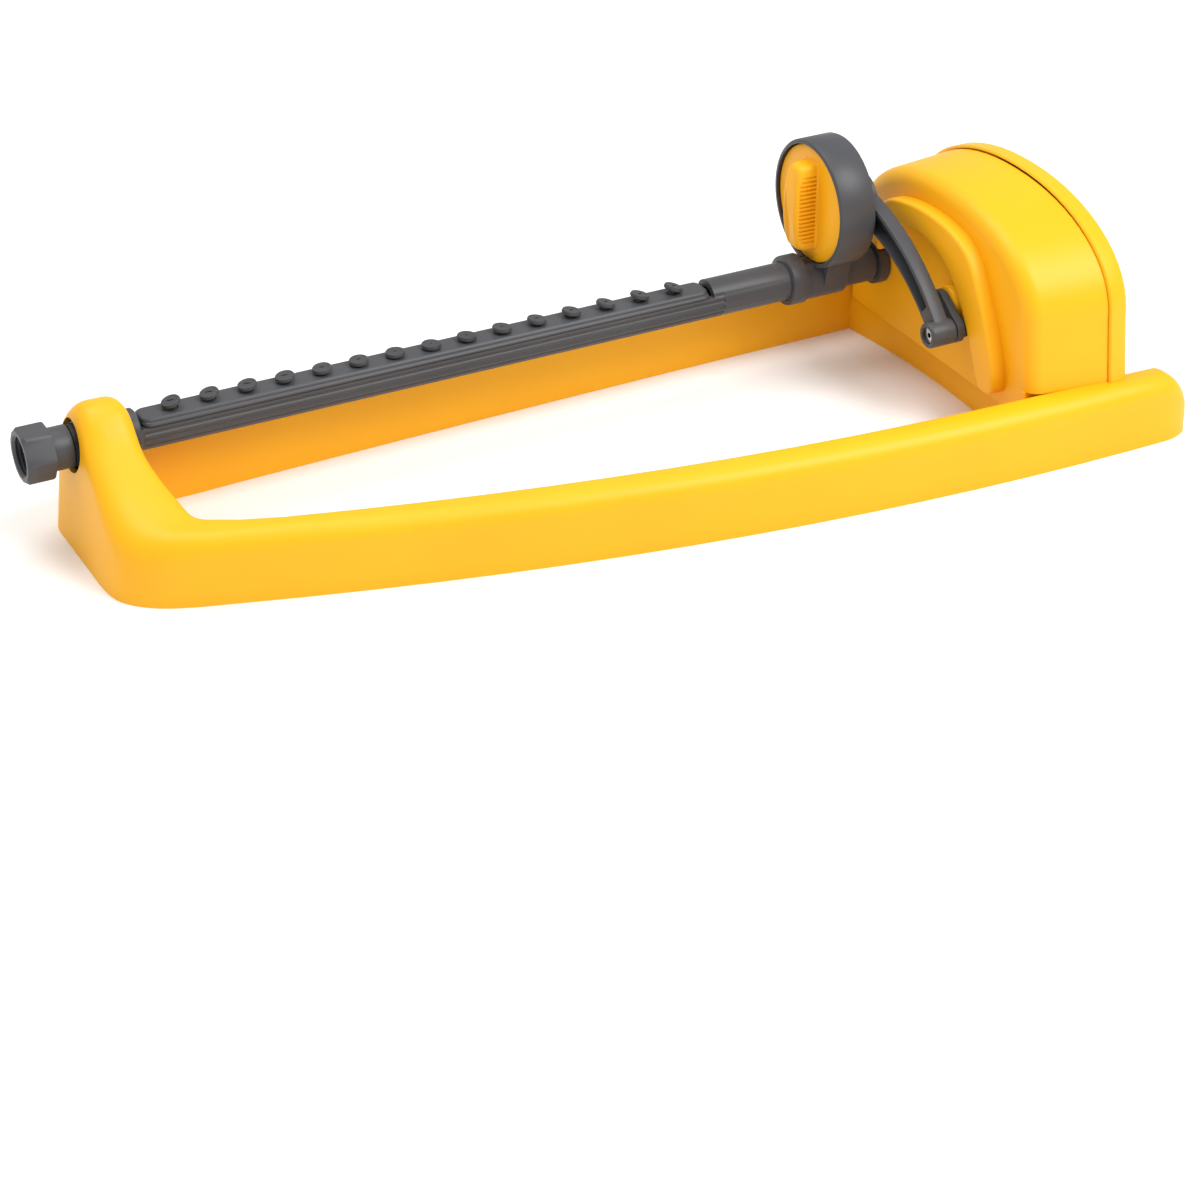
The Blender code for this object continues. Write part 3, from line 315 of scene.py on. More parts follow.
def band(inset, foot):
    """Sweep the wall's section from the rear runner's nose round the post to the front runner's nose."""
    loops = []
    nose = [math.radians(a) for a in (84, 72, 60, 48, 36, 24, 12)]
    for angle in nose:
        row = runner_row(NOSE_X + (NOSE_LONG - inset) * math.sin(angle), 1)
        loops.append(wall(row, inset, foot, math.cos(angle)))
    loops += [wall(row, inset, foot) for row in rows]
    for angle in reversed(nose):
        row = runner_row(NOSE_X + (NOSE_LONG - inset) * math.sin(angle), -1)
        loops.append(wall(row, inset, foot, math.cos(angle)))
    return lofted("band", loops)


DECK_TOP = 19.5
DECK_FAR = 245.0


def deck(inset, foot):
    """Bridge between the runners, hollowed towards the hose end, with a rounded upper edge."""
    levels = [(foot, 0.0), (DECK_TOP - inset - 4.0, 0.4), (DECK_TOP - inset - 1.2, 1.3), (DECK_TOP - inset, 3.8)]
    half = 86.0
    loops = []
    for z, back in levels:
        near = [(188.0 + inset + back + 7.0 * (1 - (y / 82.0) ** 2), y) for y in range(-86, 87, 4)]
        far = DECK_FAR - inset - back * 0.6
        loops.append([(x, y, z) for x, y in near + [(far, half), (far, -half)]])
    return lofted("deck", loops)


def turned(name, profile, axis, sides=64):
    """Turn a profile of (x, radius) about a line along X through axis = (y, z), all in millimetres."""
    ring = [math.tau * i / sides for i in range(sides)]
    return lofted(name, [[(x, axis[0] + r * math.cos(a), axis[1] + r * math.sin(a)) for a in ring]
                         for x, r in profile])


low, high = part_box("spray_tube")
BAR = ((low.y + high.y) / 2 / MM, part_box("inlet_pipe")[0].z / MM + (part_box("inlet_pipe")[1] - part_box("inlet_pipe")[0]).z / MM / 2)
frame_piece = band(0.0, 0.0)
frame_piece.name = "moulded_sled"
carve(frame_piece, deck(0.0, 0.0), "UNION")
carve(frame_piece, band(FRAME_WALL, -3.0))
carve(frame_piece, deck(FRAME_WALL, -3.0))
saddle = [(-275, 13.7), (-256.5, 13.7), (-254.0, 12.9), (-229, 12.9), (-205, 12.9)]
carve(frame_piece, turned("saddle", saddle, BAR))
done(frame_piece, YELLOW, "root", "yellow_plastic", "sled_frame")


# ---------------------------------------------------------------- motor housing
# An arched yellow shell that stands between the runners on a narrower foot. Its front edge is rounded,
# a raised rib runs over the front wall, and a boss carries the output shaft. Moulded in one piece.
FRONT_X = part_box("sled_frame")[0].x / MM + 447.0
SEAM_X = FRONT_X + 43.0
SPRING_Z = 66.0
SHELF_Z = 34.6
FOOT_Z = 19.8
FOOT_HALF = 79.5


def arched(x, half, top, inset=0.0, foot=FOOT_HALF):
    """Outline across the motor at x: a foot between the runners, leaning sides, a flat-topped arch."""
    half -= inset
    low = half + 4.0
    pts = [(foot - inset, FOOT_Z + inset * 0.5), (foot - inset, SHELF_Z + inset), (low, SHELF_Z + inset)]
    pts += [(low + (half - low) * t, SHELF_Z + inset + (SPRING_Z - SHELF_Z - inset) * t) for t in (0.33, 0.66)]
    for k in range(33):
        a = math.pi * k / 32
        power = 0.93
        y = math.copysign(abs(math.cos(a)) ** power, math.cos(a)) * half
        pts.append((y, SPRING_Z + (top - inset - SPRING_Z) * math.sin(a) ** power))
    side = pts[:5]
    pts += [(-y, z) for y, z in reversed(side)]
    return [(x, y, z) for y, z in pts]


def shell(inset, start, end):
    loops = []
    for k in range(9):
        a = math.pi / 2 * k / 8
        x = start + 8.0 * (1 - math.sin(a))
        loops.insert(0, arched(x, 79.6 + 5.2 * (x - FRONT_X) / 43 - 8.0 * (1 - math.cos(a)),
                               112.8 + 1.8 * (x - FRONT_X) / 43 - 8.0 * (1 - math.cos(a)), inset))
    loops = loops[::-1] if loops[0][0][0] > loops[-1][0][0] else loops
    loops.append(arched(end, 84.8, 114.6, inset))
    return lofted("shell", loops)


def rib_line(points, x0, x1, crown):
    """A raised band on the front wall, with a rounded edge."""
    middle = Vector((sum(y for y, z in points), sum(z for y, z in points))) / len(points)
    levels = [(x1, 0.0), (x0 + crown, 0.0)]
    levels += [(x0 + crown * (1 - math.sin(a)), crown * (1 - math.cos(a)))
               for a in (math.radians(d) for d in (30, 60, 90))]
    loops = []
    count = len(points)
    for x, inset in levels:
        loop = []
        for k in range(count):
            before = Vector(points[k - 1])
            here = Vector(points[k])
            after = Vector(points[(k + 1) % count])
            along = (after - before).normalized()
            out = Vector((along.y, -along.x))
            place = here - out * inset * SIGN
            loop.append((x, place.x, place.y))
        loops.append(loop)
    return lofted("rib", loops)


shell_piece = shell(0.0, FRONT_X, SEAM_X)
shell_piece.name = "moulded_motor_shell"
carve(shell_piece, shell(3.0, FRONT_X + 3.0, SEAM_X + 4.0))
outer_line = through([(58, 66), (52, 81), (43, 90.5), (33, 95.5), (11, 99.5), (-15, 98.5), (-33, 92), (-45, 77),
                      (-55, 58), (-62, 40), (-63, 30), (-58, 25.5), (-51, 26)], 3)
inner_line = through([(-46, 33), (-39.5, 48), (-32.5, 60.5), (-25, 70), (-15, 79), (-4, 84), (9.5, 85.5),
                      (26, 83.5), (38, 78), (43.5, 71), (46, 62)], 3)
SIGN = 1.0
ribbon = outer_line + inner_line
area = sum(a[0] * b[1] - b[0] * a[1] for a, b in zip(ribbon, ribbon[1:] + ribbon[:1]))
SIGN = 1.0 if area > 0 else -1.0
carve(shell_piece, rib_line(ribbon, FRONT_X - 8.0, FRONT_X + 1.5, 1.9), "UNION")
SHAFT = (-18.7, 58.6)
boss = [(FRONT_X + 6, 9.5), (FRONT_X - 5.5, 9.5), (FRONT_X - 7.2, 8.8), (FRONT_X - 8.0, 7.2)]
carve(shell_piece, turned("boss", boss, SHAFT, 40), "UNION")
carve(shell_piece, turned("bore", [(FRONT_X - 12, 3.5), (FRONT_X + 30, 3.5)], SHAFT, 24))
carve(shell_piece, turned("hole", [(FRONT_X - 5, 10.9), (FRONT_X + 12.3, 10.9)], BAR, 40))
done(shell_piece, YELLOW, "root", "yellow_plastic", "motor_housing")

# ---------------------------------------------------------------- motor cover
# The back of the motor: a slightly domed yellow lid whose rim stands 2 mm proud of the shell, sealed by
# a flat gasket and held by four sunk screws. The filter knob goes through it.
RIM_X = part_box("motor_cover")[0].x / MM
BACK_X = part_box("motor_cover")[1].x / MM


def lid(x, out, up):
    return arched(x, 86.6 + out, 116.6 + up, 0.0, FOOT_HALF + min(out, 0.0))


SKIRT_X = SEAM_X + 0.25
lid_piece = lofted("domed_lid", [
    lid(SKIRT_X, -0.7, -0.7), lid(SKIRT_X + 0.7, 0.0, 0.0), lid(RIM_X + 6.0, 0.0, 0.0), lid(RIM_X + 7.6, -0.6, -0.6),
    lid(RIM_X + 8.8, -2.0, -2.0), lid(RIM_X + 9.4, -4.5, -4.5), lid(BACK_X, -9.0, -9.0)])
carve(lid_piece, lofted("lid_hollow", [arched(SKIRT_X - 1, 79.0, 109.0, 0.0, 73.0),
                                       arched(RIM_X + 6, 78.0, 108.0, 0.0, 73.0)]))
carve(lid_piece, lofted("gasket_seat", [arched(SKIRT_X - 1, 83.6, 115.5, 0.0, 80.0),
                                        arched(RIM_X, 83.6, 115.5, 0.0, 80.0)]))
KNOB = (0.0, 66.0)
carve(lid_piece, turned("knob_hole", [(RIM_X - 3, 9.5), (BACK_X + 3, 9.5)], KNOB, 40))
for number in range(1, 5):
    low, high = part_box("cover_screw_%d" % number)
    place = ((low.y + high.y) / 2 / MM, (low.z + high.z) / 2 / MM)
    carve(lid_piece, turned("well", [(RIM_X - 2, 1.8), (BACK_X - 1.9, 1.8), (BACK_X - 1.89, 3.7), (BACK_X + 2, 3.9)],
                            place, 24))
done(lid_piece, YELLOW, "root", "yellow_plastic", "motor_cover")

# ---------------------------------------------------------------- spray tube
# A grey tube, 20 mm across, glossy where it is smooth. Under the jets it has fins along it, its top is
# cut flat for the strip, and a thicker ring turns in the post. It rocks about its own axis.
GREY = moulded("grey_moulding", (0.070, 0.072, 0.080), (0.055, 0.057, 0.064), 0.40, 0.12)
BAR_BODY = "spray_bar"
TUBE_X0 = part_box("spray_tube")[0].x / MM
TUBE_X1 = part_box("spray_tube")[1].x / MM
STRIP_X0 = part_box("jet_strip")[0].x / MM
STRIP_X1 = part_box("jet_strip")[1].x / MM
SMOOTH_X = STRIP_X1 + 7.0


def finned(x, depth):
    """Outline across the tube: round on top, with shallow channels along its lower half."""
    loop = []
    for k in range(144):
        a = math.tau * k / 144
        under = max(0.0, min(1.0, (math.cos(a) * -1 + 0.62) * 4))
        groove = 0.5 + 0.5 * math.cos(a * 18)
        r = 10.0 - depth * under * min(1.0, max(0.0, groove * 2.2 - 0.6))
        loop.append((x, BAR[0] + r * math.sin(a), BAR[1] + r * math.cos(a)))
    return loop


def round_at(x, r):
    return [(x, BAR[0] + r * math.sin(math.tau * k / 144), BAR[1] + r * math.cos(math.tau * k / 144))
            for k in range(144)]


tube_piece = lofted("finned_tube", [
    round_at(TUBE_X0, 10.3), round_at(TUBE_X0 + 0.7, 11.0), round_at(TUBE_X0 + 6.6, 11.0), round_at(TUBE_X0 + 7.4, 10.3),
    round_at(TUBE_X0 + 7.5, 9.9), finned(TUBE_X0 + 8.4, 0.0), finned(TUBE_X0 + 9.0, 0.75), finned(SMOOTH_X, 0.75),
    finned(SMOOTH_X + 0.5, 0.0), round_at(TUBE_X1 - 20.0, 10.0), round_at(TUBE_X1 - 19.9, 8.4), round_at(TUBE_X1, 8.4)])


def block(name, x0, x1, y0, y1, z0, z1, soft=0.0):
    """A block with its edges bevelled, between the given corners in millimetres."""
    deselect()
    bpy.ops.mesh.primitive_cube_add(size=1.0, location=(0, 0, 0))
    piece = bpy.context.object
    piece.name = name
    for vert in piece.data.vertices:
        vert.co = Vector((x0 if vert.co.x < 0 else x1, y0 if vert.co.y < 0 else y1,
                          z0 if vert.co.z < 0 else z1)) * MM
    if soft:
        bpy.ops.object.mode_set(mode="EDIT")
        bpy.ops.mesh.select_all(action="SELECT")
        bpy.ops.mesh.bevel(offset=soft * MM, segments=3, affect="EDGES")
        bpy.ops.object.mode_set(mode="OBJECT")
    return piece


y_mid, z_mid = BAR
carve(tube_piece, block("seat", STRIP_X0 - 1.6, STRIP_X1 + 1.6, y_mid - 13, y_mid + 13, z_mid + 3.9, z_mid + 14))
carve(tube_piece, turned("bore", [(TUBE_X0 - 2, 9.2), (TUBE_X0 + 8.5, 9.2), (TUBE_X0 + 8.6, 6.5), (TUBE_X1 + 2, 6.5)],
                         BAR, 40))
done(tube_piece, GREY, BAR_BODY, "grey_plastic", "spray_tube")

# ---------------------------------------------------------------- jet strip
# A grey cap strip, pressed into the flat of the tube: flat on top, a step down each side with a fine
# groove, and round ends. Fifteen soft studs are pulled through its holes.
JET_COUNT = 15
JET_X = [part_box("jet_%02d" % (k + 1)) for k in range(JET_COUNT)]
JET_X = [(low.x + high.x) / 2 / MM for low, high in JET_X]
STRIP_SIDE = [(9.1, 4.3), (9.1, 5.2), (8.5, 6.0), (7.9, 6.2), (7.7, 5.9), (7.4, 5.9), (7.2, 6.4), (6.7, 7.2),
              (6.1, 7.6)]


def strip_loop(x, narrow, drop):
    side = [(max(y - narrow, 1.0), z - drop * (z - 4.3) / 3.3) for y, z in STRIP_SIDE]
    pts = [(-y, z) for y, z in side] + list(reversed(side))
    return [(x, y_mid + y, z_mid + z) for y, z in pts]


ends = [(0.0, 4.2, 1.0), (0.5, 2.6, 0.5), (1.4, 1.2, 0.15), (2.8, 0.3, 0.0), (4.5, 0.0, 0.0)]
strip_piece = lofted("jet_cap_strip", [strip_loop(STRIP_X0 + x, n, d) for x, n, d in ends]
                     + [strip_loop(STRIP_X1 - x, n, d) for x, n, d in reversed(ends)])


def tilted(name, profile, x, lean, sides=32):
    """Turn a profile of (height, radius) about a jet's axis, which leans along the strip."""
    up = Vector((math.sin(lean), 0.0, math.cos(lean)))
    along = Vector((math.cos(lean), 0.0, -math.sin(lean)))
    start = Vector((x, y_mid, z_mid + 7.6))
    loops = []
    for h, r in profile:
        loops.append([tuple(start + up * h + along * r * math.cos(math.tau * k / sides)
                            + Vector((0, r * math.sin(math.tau * k / sides), 0))) for k in range(sides)])
    return lofted(name, loops)


FAN = math.radians(18.0)
for number, x in enumerate(JET_X):
    lean = FAN * (number - 7) / 7
    carve(strip_piece, tilted("jet_hole", [(-9, 2.5), (4, 2.5)], x, lean, 20))
done(strip_piece, GREY, BAR_BODY, "grey_plastic", "jet_strip")

# ---------------------------------------------------------------- jets
# Soft studs of dark rubbery plastic, each with a rounded rim, a dished top and one fine opening. The
# end ones lean outwards to fan the water, and their openings are slits that lean the same way.
RUBBER = moulded("jet_rubber", (0.062, 0.064, 0.070), (0.045, 0.047, 0.052), 0.50, 0.10)
for number, x in enumerate(JET_X):
    step = number - 7
    lean = FAN * step / 7
    lift = 0.35 + abs(math.sin(lean)) * 4.9
    stud = tilted("jet_stud_%02d" % (number + 1), [
        (lift - 5.2, 1.7), (lift + 0.2, 2.1), (lift + 0.25, 4.5), (lift + 0.6, 4.85), (lift + 1.6, 4.85),
        (lift + 2.2, 4.55), (lift + 2.4, 4.1), (lift + 2.35, 3.5), (lift + 2.15, 3.2), (lift + 2.15, 1.8),
        (lift + 2.2, 0.7),
    ], x, lean)
    long = 0.45 + 1.6 * min(abs(step), 5) / 5
    deselect()
    bpy.ops.mesh.primitive_cylinder_add(vertices=16, radius=1.0, depth=1.0)
    slit = bpy.context.object
    turn = math.radians(-32.0 if step < 0 else 32.0) * min(abs(step), 5) / 5
    up = Vector((math.sin(lean), 0.0, math.cos(lean)))
    along = Vector((math.cos(lean), 0.0, -math.sin(lean)))
    start = Vector((x, y_mid, z_mid + 7.6)) + up * (lift + 2.1)
    for vert in slit.data.vertices:
        u = vert.co.x * long
        v = vert.co.y * 0.45
        place = start + up * vert.co.z * 3.0
        place += along * (u * math.cos(turn) - v * math.sin(turn))
        place += Vector((0, u * math.sin(turn) + v * math.cos(turn), 0))
        vert.co = place * MM
    carve(stud, slit)
    done(stud, RUBBER, BAR_BODY, "jet_rubber", "jet_%02d" % (number + 1))

# ---------------------------------------------------------------- hose end
# A grey union nut with a hexagon for the hand and a round neck, turning on the fixed inlet pipe. A black
# ring seals it, and the pipe widens to a cone where it enters the post.
NUT_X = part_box("hose_nut")[0].x / MM
NECK_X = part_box("hose_nut")[1].x / MM
HEX_END = NUT_X + 14.5


def hexagon_at(x, corner, flat):
    """A hexagon standing on a flat, cut to a circle of the given radius at its corners."""
    loop = []
    for k in range(96):
        a = math.tau * k / 96
        side = flat / math.cos(a % (math.pi / 3) - math.pi / 6)
        r = min(side, corner)
        loop.append((x, y_mid + r * math.cos(a), z_mid + r * math.sin(a)))
    return loop


nut_piece = lofted("union_nut", [
    hexagon_at(NUT_X, 12.3, 12.05), hexagon_at(NUT_X + 1.6, 13.7, 12.1), hexagon_at(HEX_END - 1.0, 13.7, 12.1),
    hexagon_at(HEX_END - 0.2, 13.2, 11.9)])
neck = [(HEX_END - 2, 10.4), (NECK_X - 1.0, 10.4), (NECK_X - 0.3, 10.1), (NECK_X, 9.6)]
carve(nut_piece, turned("neck", neck, BAR, 64), "UNION")
thread = [(NUT_X - 1, 10.6), (NUT_X, 10.5), (NUT_X + 1.2, 9.3)]
for k in range(5):
    thread += [(NUT_X + 1.6 + k * 1.8, 9.35), (NUT_X + 2.3 + k * 1.8, 10.1), (NUT_X + 2.7 + k * 1.8, 10.1),
               (NUT_X + 3.3 + k * 1.8, 9.35)]
thread += [(NUT_X + 13.0, 9.3), (NUT_X + 13.02, 7.9), (NECK_X + 1, 7.9)]
carve(nut_piece, turned("nut_thread", thread, BAR, 48))
done(nut_piece, GREY, "nut", "grey_plastic", "hose_nut")

PIPE_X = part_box("inlet_pipe")[0].x / MM
PIPE_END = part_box("inlet_pipe")[1].x / MM
pipe_piece = turned("inlet_cone", [
    (PIPE_X, 8.6), (PIPE_X + 0.3, 9.0), (PIPE_X + 2.0, 9.0), (PIPE_X + 2.05, 7.4), (-251.0, 7.4), (-250.95, 10.6),
    (-250.2, 11.1), (-247.0, 12.0), (-246.0, 12.3), (-229.6, 12.3), (-229.5, 8.6), (-226.6, 8.6), (-226.5, 7.1),
    (-223.8, 7.1), (-223.7, 8.6), (PIPE_END, 8.6)], BAR, 64)
carve(pipe_piece, turned("pipe_bore", [(PIPE_X - 1, 5.5), (PIPE_END + 1, 5.5)], BAR, 40))
done(pipe_piece, GREY, "root", "grey_plastic", "inlet_pipe")

# ---------------------------------------------------------------- dial housing
# A grey moulding that clips round the bar: a collar with a proud ring at its front end, flat-sided
# gussets, and above them the deep round case in which the range dial turns.
RING_X = 143.0
CASE_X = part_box("dial_housing")[1].x / MM
low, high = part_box("range_dial")
DIAL = (y_mid, (low.z + high.z) / 2 / MM)
case_piece = turned("dial_case", [
    (RING_X, 32.2), (RING_X + 0.35, 33.0), (RING_X + 1.1, 33.4), (CASE_X - 1.6, 33.4), (CASE_X - 0.5, 32.9),
    (CASE_X, 31.8)], DIAL, 96)
collar_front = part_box("dial_housing")[0].x / MM
collar = [(collar_front, 12.0), (collar_front + 0.4, 12.8), (collar_front + 1.2, 13.0), (collar_front + 9.0, 13.0),
          (collar_front + 9.6, 12.7), (collar_front + 9.8, 12.0), (CASE_X - 1.8, 12.0), (CASE_X - 1.4, 11.6)]
carve(case_piece, turned("collar", collar, BAR, 64), "UNION")
gusset = [(-15.5, 13.0), (-11.6, -3.5), (-10.4, -5.0), (10.4, -5.0), (11.6, -3.5), (15.5, 13.0)]
carve(case_piece, lofted("gusset", [[(x, y_mid + y, z_mid + z) for y, z in gusset]
                                    for x in (RING_X + 4.5, CASE_X - 2.2)]), "UNION")
carve(case_piece, turned("pocket", [(RING_X - 5, 31.1), (RING_X + 0.01, 31.1), (RING_X + 9.1, 31.1)], DIAL, 96))
carve(case_piece, turned("bore", [(collar_front - 3, 10.3), (CASE_X + 3, 10.3)], BAR, 64))
hub_hole = [(RING_X + 7, 4.5), (CASE_X - 3.5, 4.5), (CASE_X - 3.45, 12.1), (CASE_X + 3, 12.1)]
carve(case_piece, turned("hub_hole", hub_hole, DIAL, 48))
done(case_piece, GREY, BAR_BODY, "grey_plastic", "dial_housing")

# ---------------------------------------------------------------- range dial
# A yellow disc with a thick finger grip across it. The grip bows forward in the middle, its upper and
# lower ends are rounded, and both its sides have fine ribs. It turns against the case.
DISC_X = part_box("range_dial")[0].x / MM + 13.0
DISC_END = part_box("range_dial")[1].x / MM
dial_piece = turned("grip_dial", [(DISC_X, 29.8), (DISC_X + 0.3, 30.4), (DISC_X + 1.0, 30.7), (DISC_END, 30.7)],
                    DIAL, 96)


def grip_loop(reach, tall, wide):
    """Outline of the grip at one depth: a long rounded block, swept back at its ends."""
    loop = []
    for k in range(64):
        a = math.tau * (k + 0.5) / 64
        y = math.copysign(abs(math.cos(a)) ** 0.32, math.cos(a)) * 7.3 * wide
        z = math.copysign(abs(math.sin(a)) ** 0.42, math.sin(a)) * 23.5 * tall
        bow = 3.6 * (z / 23.5) ** 2 * min(1.0, reach / 8.0)
        loop.append((DISC_X - reach + bow, DIAL[0] + y, DIAL[1] + z))
    return loop


carve(dial_piece, lofted("grip", [grip_loop(r, t, w) for r, t, w in (
    (-1.0, 1.04, 1.12), (0.2, 1.02, 1.08), (1.2, 0.995, 1.0), (5.0, 0.99, 0.99), (9.8, 0.98, 0.97),
    (11.2, 0.96, 0.93), (12.2, 0.935, 0.86), (12.8, 0.90, 0.74), (13.0, 0.86, 0.60))]), "UNION")
for side in (-1, 1):
    for number in range(17):
        z = DIAL[1] - 17.6 + number * 2.2
        y = DIAL[0] + side * 7.25
        groove = block("rib_gap", DISC_X - 10.6, DISC_X - 1.4, y - 0.95, y + 0.95, z - 0.5, z + 0.5)
        carve(dial_piece, groove)
done(dial_piece, YELLOW, "dial", "yellow_plastic", "range_dial")

# ---------------------------------------------------------------- link
# A curved grey arm between the dial's pin and the crank: a channel section, open to the front, with an
# eye at the top and a longer boss at the foot. Its steel pin is pressed into the foot.
FRONT, BACK = 164.2, 172.2
EYE = (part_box("link_pin")[0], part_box("link_pin")[1])
FOOT = Vector(((EYE[0].y + EYE[1].y) / 2 / MM, (EYE[0].z + EYE[1].z) / 2 / MM))
TOP = Vector((y_mid - 8.0, DIAL[1] + 1.5))


def arm_edges(inset, t0=0.0, t1=1.0):
    """Both edges of the arm, drawn in by an inset, as one closed outline."""
    span = FOOT - TOP
    normal = Vector((span.y, -span.x)).normalized()
    normal = -normal if normal.y < 0 else normal
    upper = []
    under = []
    for k in range(25):
        t = t0 + (t1 - t0) * k / 24
        middle = TOP + span * t + normal * (36.0 * t * (1 - t))
        ahead = (span + normal * (36.0 * (1 - 2 * t))).normalized()
        across = Vector((ahead.y, -ahead.x))
        half = 7.5 - 2.6 * t - inset
        upper.append(middle + across * half)
        under.append(middle - across * half)
    return upper + list(reversed(under))


def arm_at(x, inset):
    return [(x, p.x, p.y) for p in arm_edges(inset)]


arm_piece = lofted("channel_arm", [arm_at(FRONT, 0.7), arm_at(FRONT + 0.3, 0.2), arm_at(FRONT + 0.9, 0.0),
                                   arm_at(BACK - 0.9, 0.0), arm_at(BACK - 0.3, 0.2), arm_at(BACK, 0.7)])
carve(arm_piece, turned("eye", [(FRONT + 0.4, 13.2), (FRONT + 0.9, 13.7), (BACK - 0.9, 13.7), (BACK - 0.4, 13.2)],
                        (TOP.x, TOP.y), 64), "UNION")
carve(arm_piece, turned("foot", [(160.5, 5.9), (161.0, 6.4), (161.6, 6.6), (173.8, 6.6), (174.7, 6.0)],
                        (FOOT.x, FOOT.y), 64), "UNION")
channel = [[(x, p.x, p.y) for p in arm_edges(inset, 0.13, 0.86)] for x, inset in ((FRONT - 2, 2.0), (BACK - 2.6, 2.4))]
carve(arm_piece, lofted("channel", channel))
carve(arm_piece, turned("foot_bore", [(158, 4.3), (177, 4.3)], (FOOT.x, FOOT.y), 48))
carve(arm_piece, turned("eye_bore", [(160, 10.8), (177, 10.8)], (TOP.x, TOP.y), 64))
done(arm_piece, GREY, "link", "grey_plastic", "link_arm")

# ---------------------------------------------------------------- crank
# A short grey lever on the output shaft, with a dark slot moulded along it and a stub for the link. A
# sunk steel screw holds it on the shaft.
CRANK_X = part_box("crank")[0].x / MM
along = (FOOT - Vector(SHAFT)).normalized()
turn = math.atan2(along.y, along.x)


def lever(x, inset):
    loop = []
    for k in range(25):
        a = turn + math.radians(97 + 166 * k / 24)
        loop.append((x, SHAFT[0] + (8.4 - inset) * math.cos(a), SHAFT[1] + (8.4 - inset) * math.sin(a)))
    for k in range(25):
        a = turn + math.radians(-83 + 166 * k / 24)
        loop.append((x, FOOT.x + (6.6 - inset) * math.cos(a), FOOT.y + (6.6 - inset) * math.sin(a)))
    return loop


crank_piece = lofted("crank_lever", [lever(CRANK_X, 0.5), lever(CRANK_X + 0.5, 0.0), lever(CRANK_X + 3.6, 0.0),
                                     lever(CRANK_X + 4.2, 0.5)])
stub = [(CRANK_X + 1, 5.0), (184.4, 5.0), (185.0, 4.4)]
carve(crank_piece, turned("stub", stub, (FOOT.x, FOOT.y), 40), "UNION")
slot = [(crank_x, SHAFT[0] + along.x * u - along.y * v, SHAFT[1] + along.y * u + along.x * v)
        for u, v in ((6.0, -2.2), (12.5, -1.4), (12.5, 1.4), (6.0, 2.2)) for crank_x in (CRANK_X,)]
carve(crank_piece, lofted("slot", [[(x, y, z) for _, y, z in slot] for x in (CRANK_X - 1, CRANK_X + 2.4)]))
hub_bore = [(CRANK_X - 2, 4.7), (CRANK_X + 2.3, 4.7), (CRANK_X + 2.31, 3.3), (CRANK_X + 14, 3.3)]
carve(crank_piece, turned("hub_bore", hub_bore, SHAFT, 40))
done(crank_piece, GREY, "crank_group", "grey_plastic", "crank")

# ---------------------------------------------------------------- filter knob
# A dark round knob in the back of the cover, with fine upright ribs round its edge and a sunk face
# crossed by a finger bar. Its neck holds the strainer.
KNOB_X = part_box("cover_gasket")[1].x / MM
HEAD_X = BACK_X + 2.2
KNOB_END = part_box("filter_knob")[1].x / MM


def knurl(x, radius, depth):
    loop = []
    for k in range(240):
        a = math.tau * k / 240
        r = radius - depth * (0.5 + 0.5 * math.cos(a * 48)) ** 0.7
        loop.append((x, KNOB[0] + r * math.cos(a), KNOB[1] + r * math.sin(a)))
    return loop


knob_piece = lofted("ribbed_knob", [knurl(HEAD_X, 19.2, 0.3), knurl(HEAD_X + 0.8, 19.9, 0.9),
                                    knurl(KNOB_END - 1.6, 19.9, 0.9), knurl(KNOB_END - 0.5, 19.2, 0.5),
                                    knurl(KNOB_END, 18.0, 0.0)])
carve(knob_piece, turned("sunk_face", [(KNOB_END - 5.5, 13.5), (KNOB_END - 4.5, 15.5), (KNOB_END + 1, 16.2)], KNOB, 64))
carve(knob_piece, block("finger_bar", KNOB_END - 8, KNOB_END - 0.6, -3.2, 3.2, KNOB[1] - 16.5, KNOB[1] + 16.5, 1.2),
      "UNION")
neck_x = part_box("filter_knob")[0].x / MM
carve(knob_piece, turned("neck", [(neck_x, 8.4), (neck_x + 0.6, 9.0), (HEAD_X + 0.5, 9.0)], KNOB, 48), "UNION")
carve(knob_piece, turned("strainer_pocket", [(neck_x - 3, 6.4), (neck_x + 5, 6.4)], KNOB, 40))
done(knob_piece, GREY, "knob", "grey_plastic", "filter_knob")

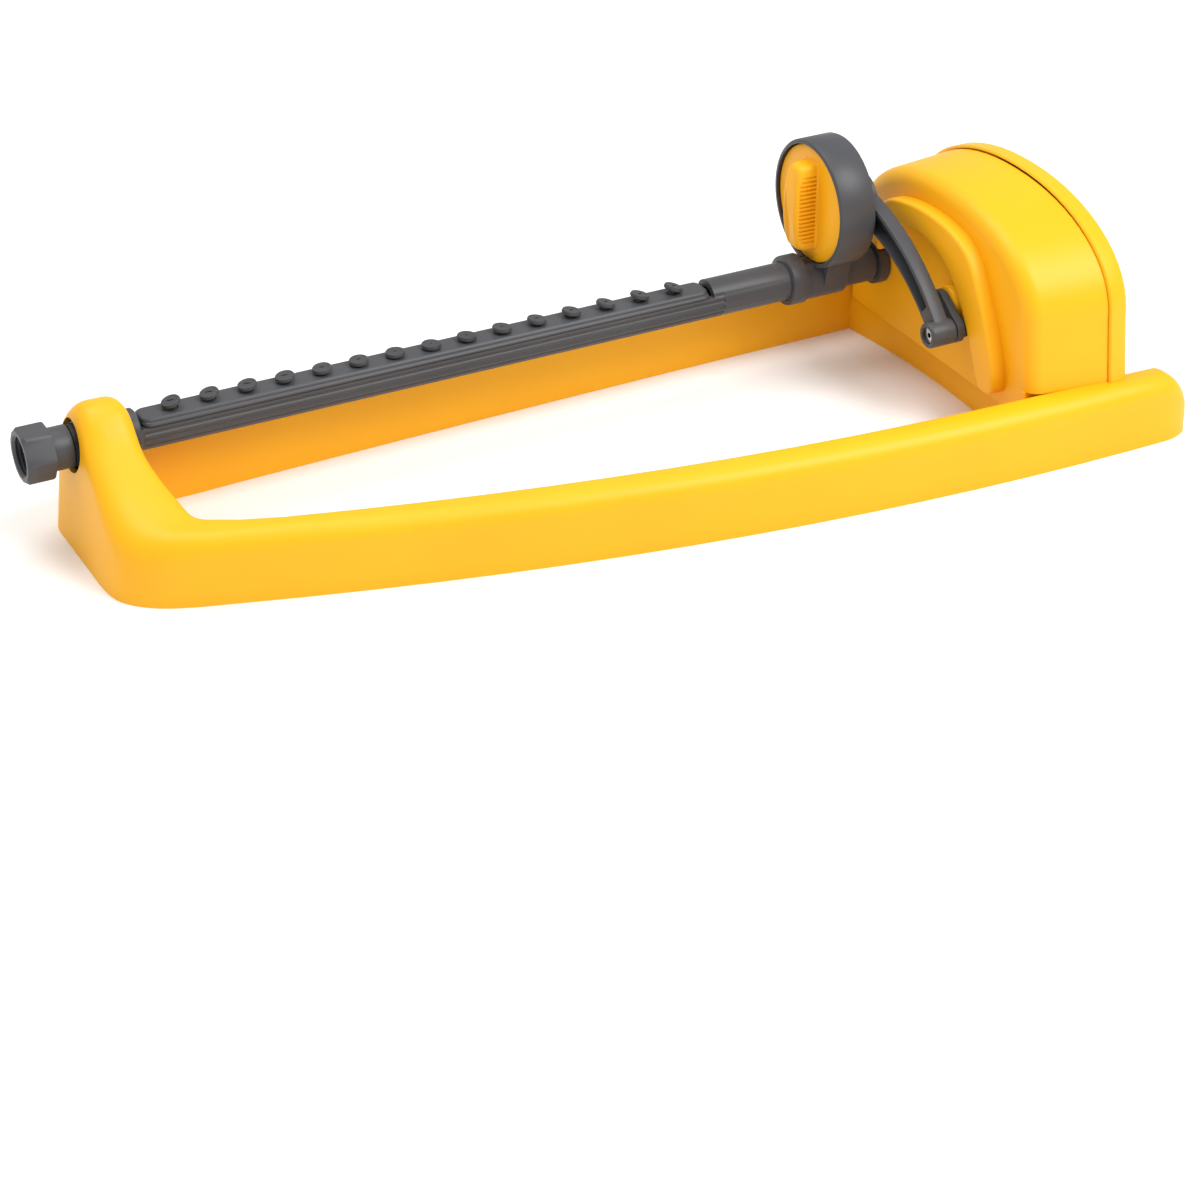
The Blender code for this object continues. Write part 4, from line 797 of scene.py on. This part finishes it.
# ---------------------------------------------------------------- seals, screws, bush and drive
# What is left as it was turned or cut: black rubber seals, zinc-plated steel screws, pins and axles, the
# grey bush and plate, and the white acetal gears with the turbine and the strainer.
def seal_black():
    mix = Recipe("seal_black")
    here = mix.node("ShaderNodeTexCoord", output=3)
    dust = mix.node("ShaderNodeTexNoise", inputs={"Vector": here, "Scale": 220.0, "Detail": 4.0})
    colour = mix.node("ShaderNodeValToRGB", {"stops": ((0.35, (0.010, 0.010, 0.011)), (0.8, (0.03, 0.03, 0.032)))},
                      {0: dust})
    mix.feed(mix.shader.inputs["Base Color"], colour)
    mix.feed(mix.shader.inputs["Roughness"], 0.55 + dust * 0.25)
    return mix.material


def plated_steel():
    mix = Recipe("plated_steel")
    here = mix.node("ShaderNodeTexCoord", output=3)
    haze = mix.node("ShaderNodeTexNoise", inputs={"Vector": here, "Scale": 160.0, "Detail": 4.0})
    fine = mix.node("ShaderNodeTexNoise", inputs={"Vector": here, "Scale": 1500.0, "Detail": 1.0})
    colour = mix.node("ShaderNodeValToRGB", {"stops": ((0.3, (0.50, 0.50, 0.49)), (0.75, (0.66, 0.66, 0.68)))},
                      {0: haze})
    mix.feed(mix.shader.inputs["Base Color"], colour)
    mix.shader.inputs["Metallic"].default_value = 1.0
    mix.feed(mix.shader.inputs["Roughness"], 0.20 + haze * 0.15)
    mix.feed(mix.shader.inputs["Normal"], mix.node(
        "ShaderNodeBump", inputs={"Strength": 0.08, "Distance": 0.0001, "Height": fine}))
    return mix.material


BLACK = seal_black()
STEEL = plated_steel()
ACETAL = moulded("white_acetal", (0.80, 0.79, 0.75), (0.74, 0.73, 0.68), 0.32, 0.05)
LEFT = {
    BLACK: ["bar_seal", "cover_gasket", "end_seal", "hose_washer", "knob_seal", "nut_seal", "shaft_seal"],
    STEEL: ["cover_screw_1", "cover_screw_2", "cover_screw_3", "cover_screw_4", "deck_screw_1", "deck_screw_2",
            "dial_screw", "link_pin", "crank_screw", "output_shaft", "reduction_axle", "turbine_axle"],
    GREY: ["end_bush", "gear_plate", "dial_hub"],
    ACETAL: ["output_gear", "reduction_gear", "reduction_pinion", "turbine_wheel", "turbine_pinion",
             "filter_strainer"],
}
for material, names in LEFT.items():
    for name in names:
        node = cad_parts[name]
        node = bpy.data.objects[node] if isinstance(node, str) else node
        for place in range(max(1, len(node.data.materials))):
            if place < len(node.material_slots):
                node.material_slots[place].material = material
            else:
                node.data.materials.append(material)
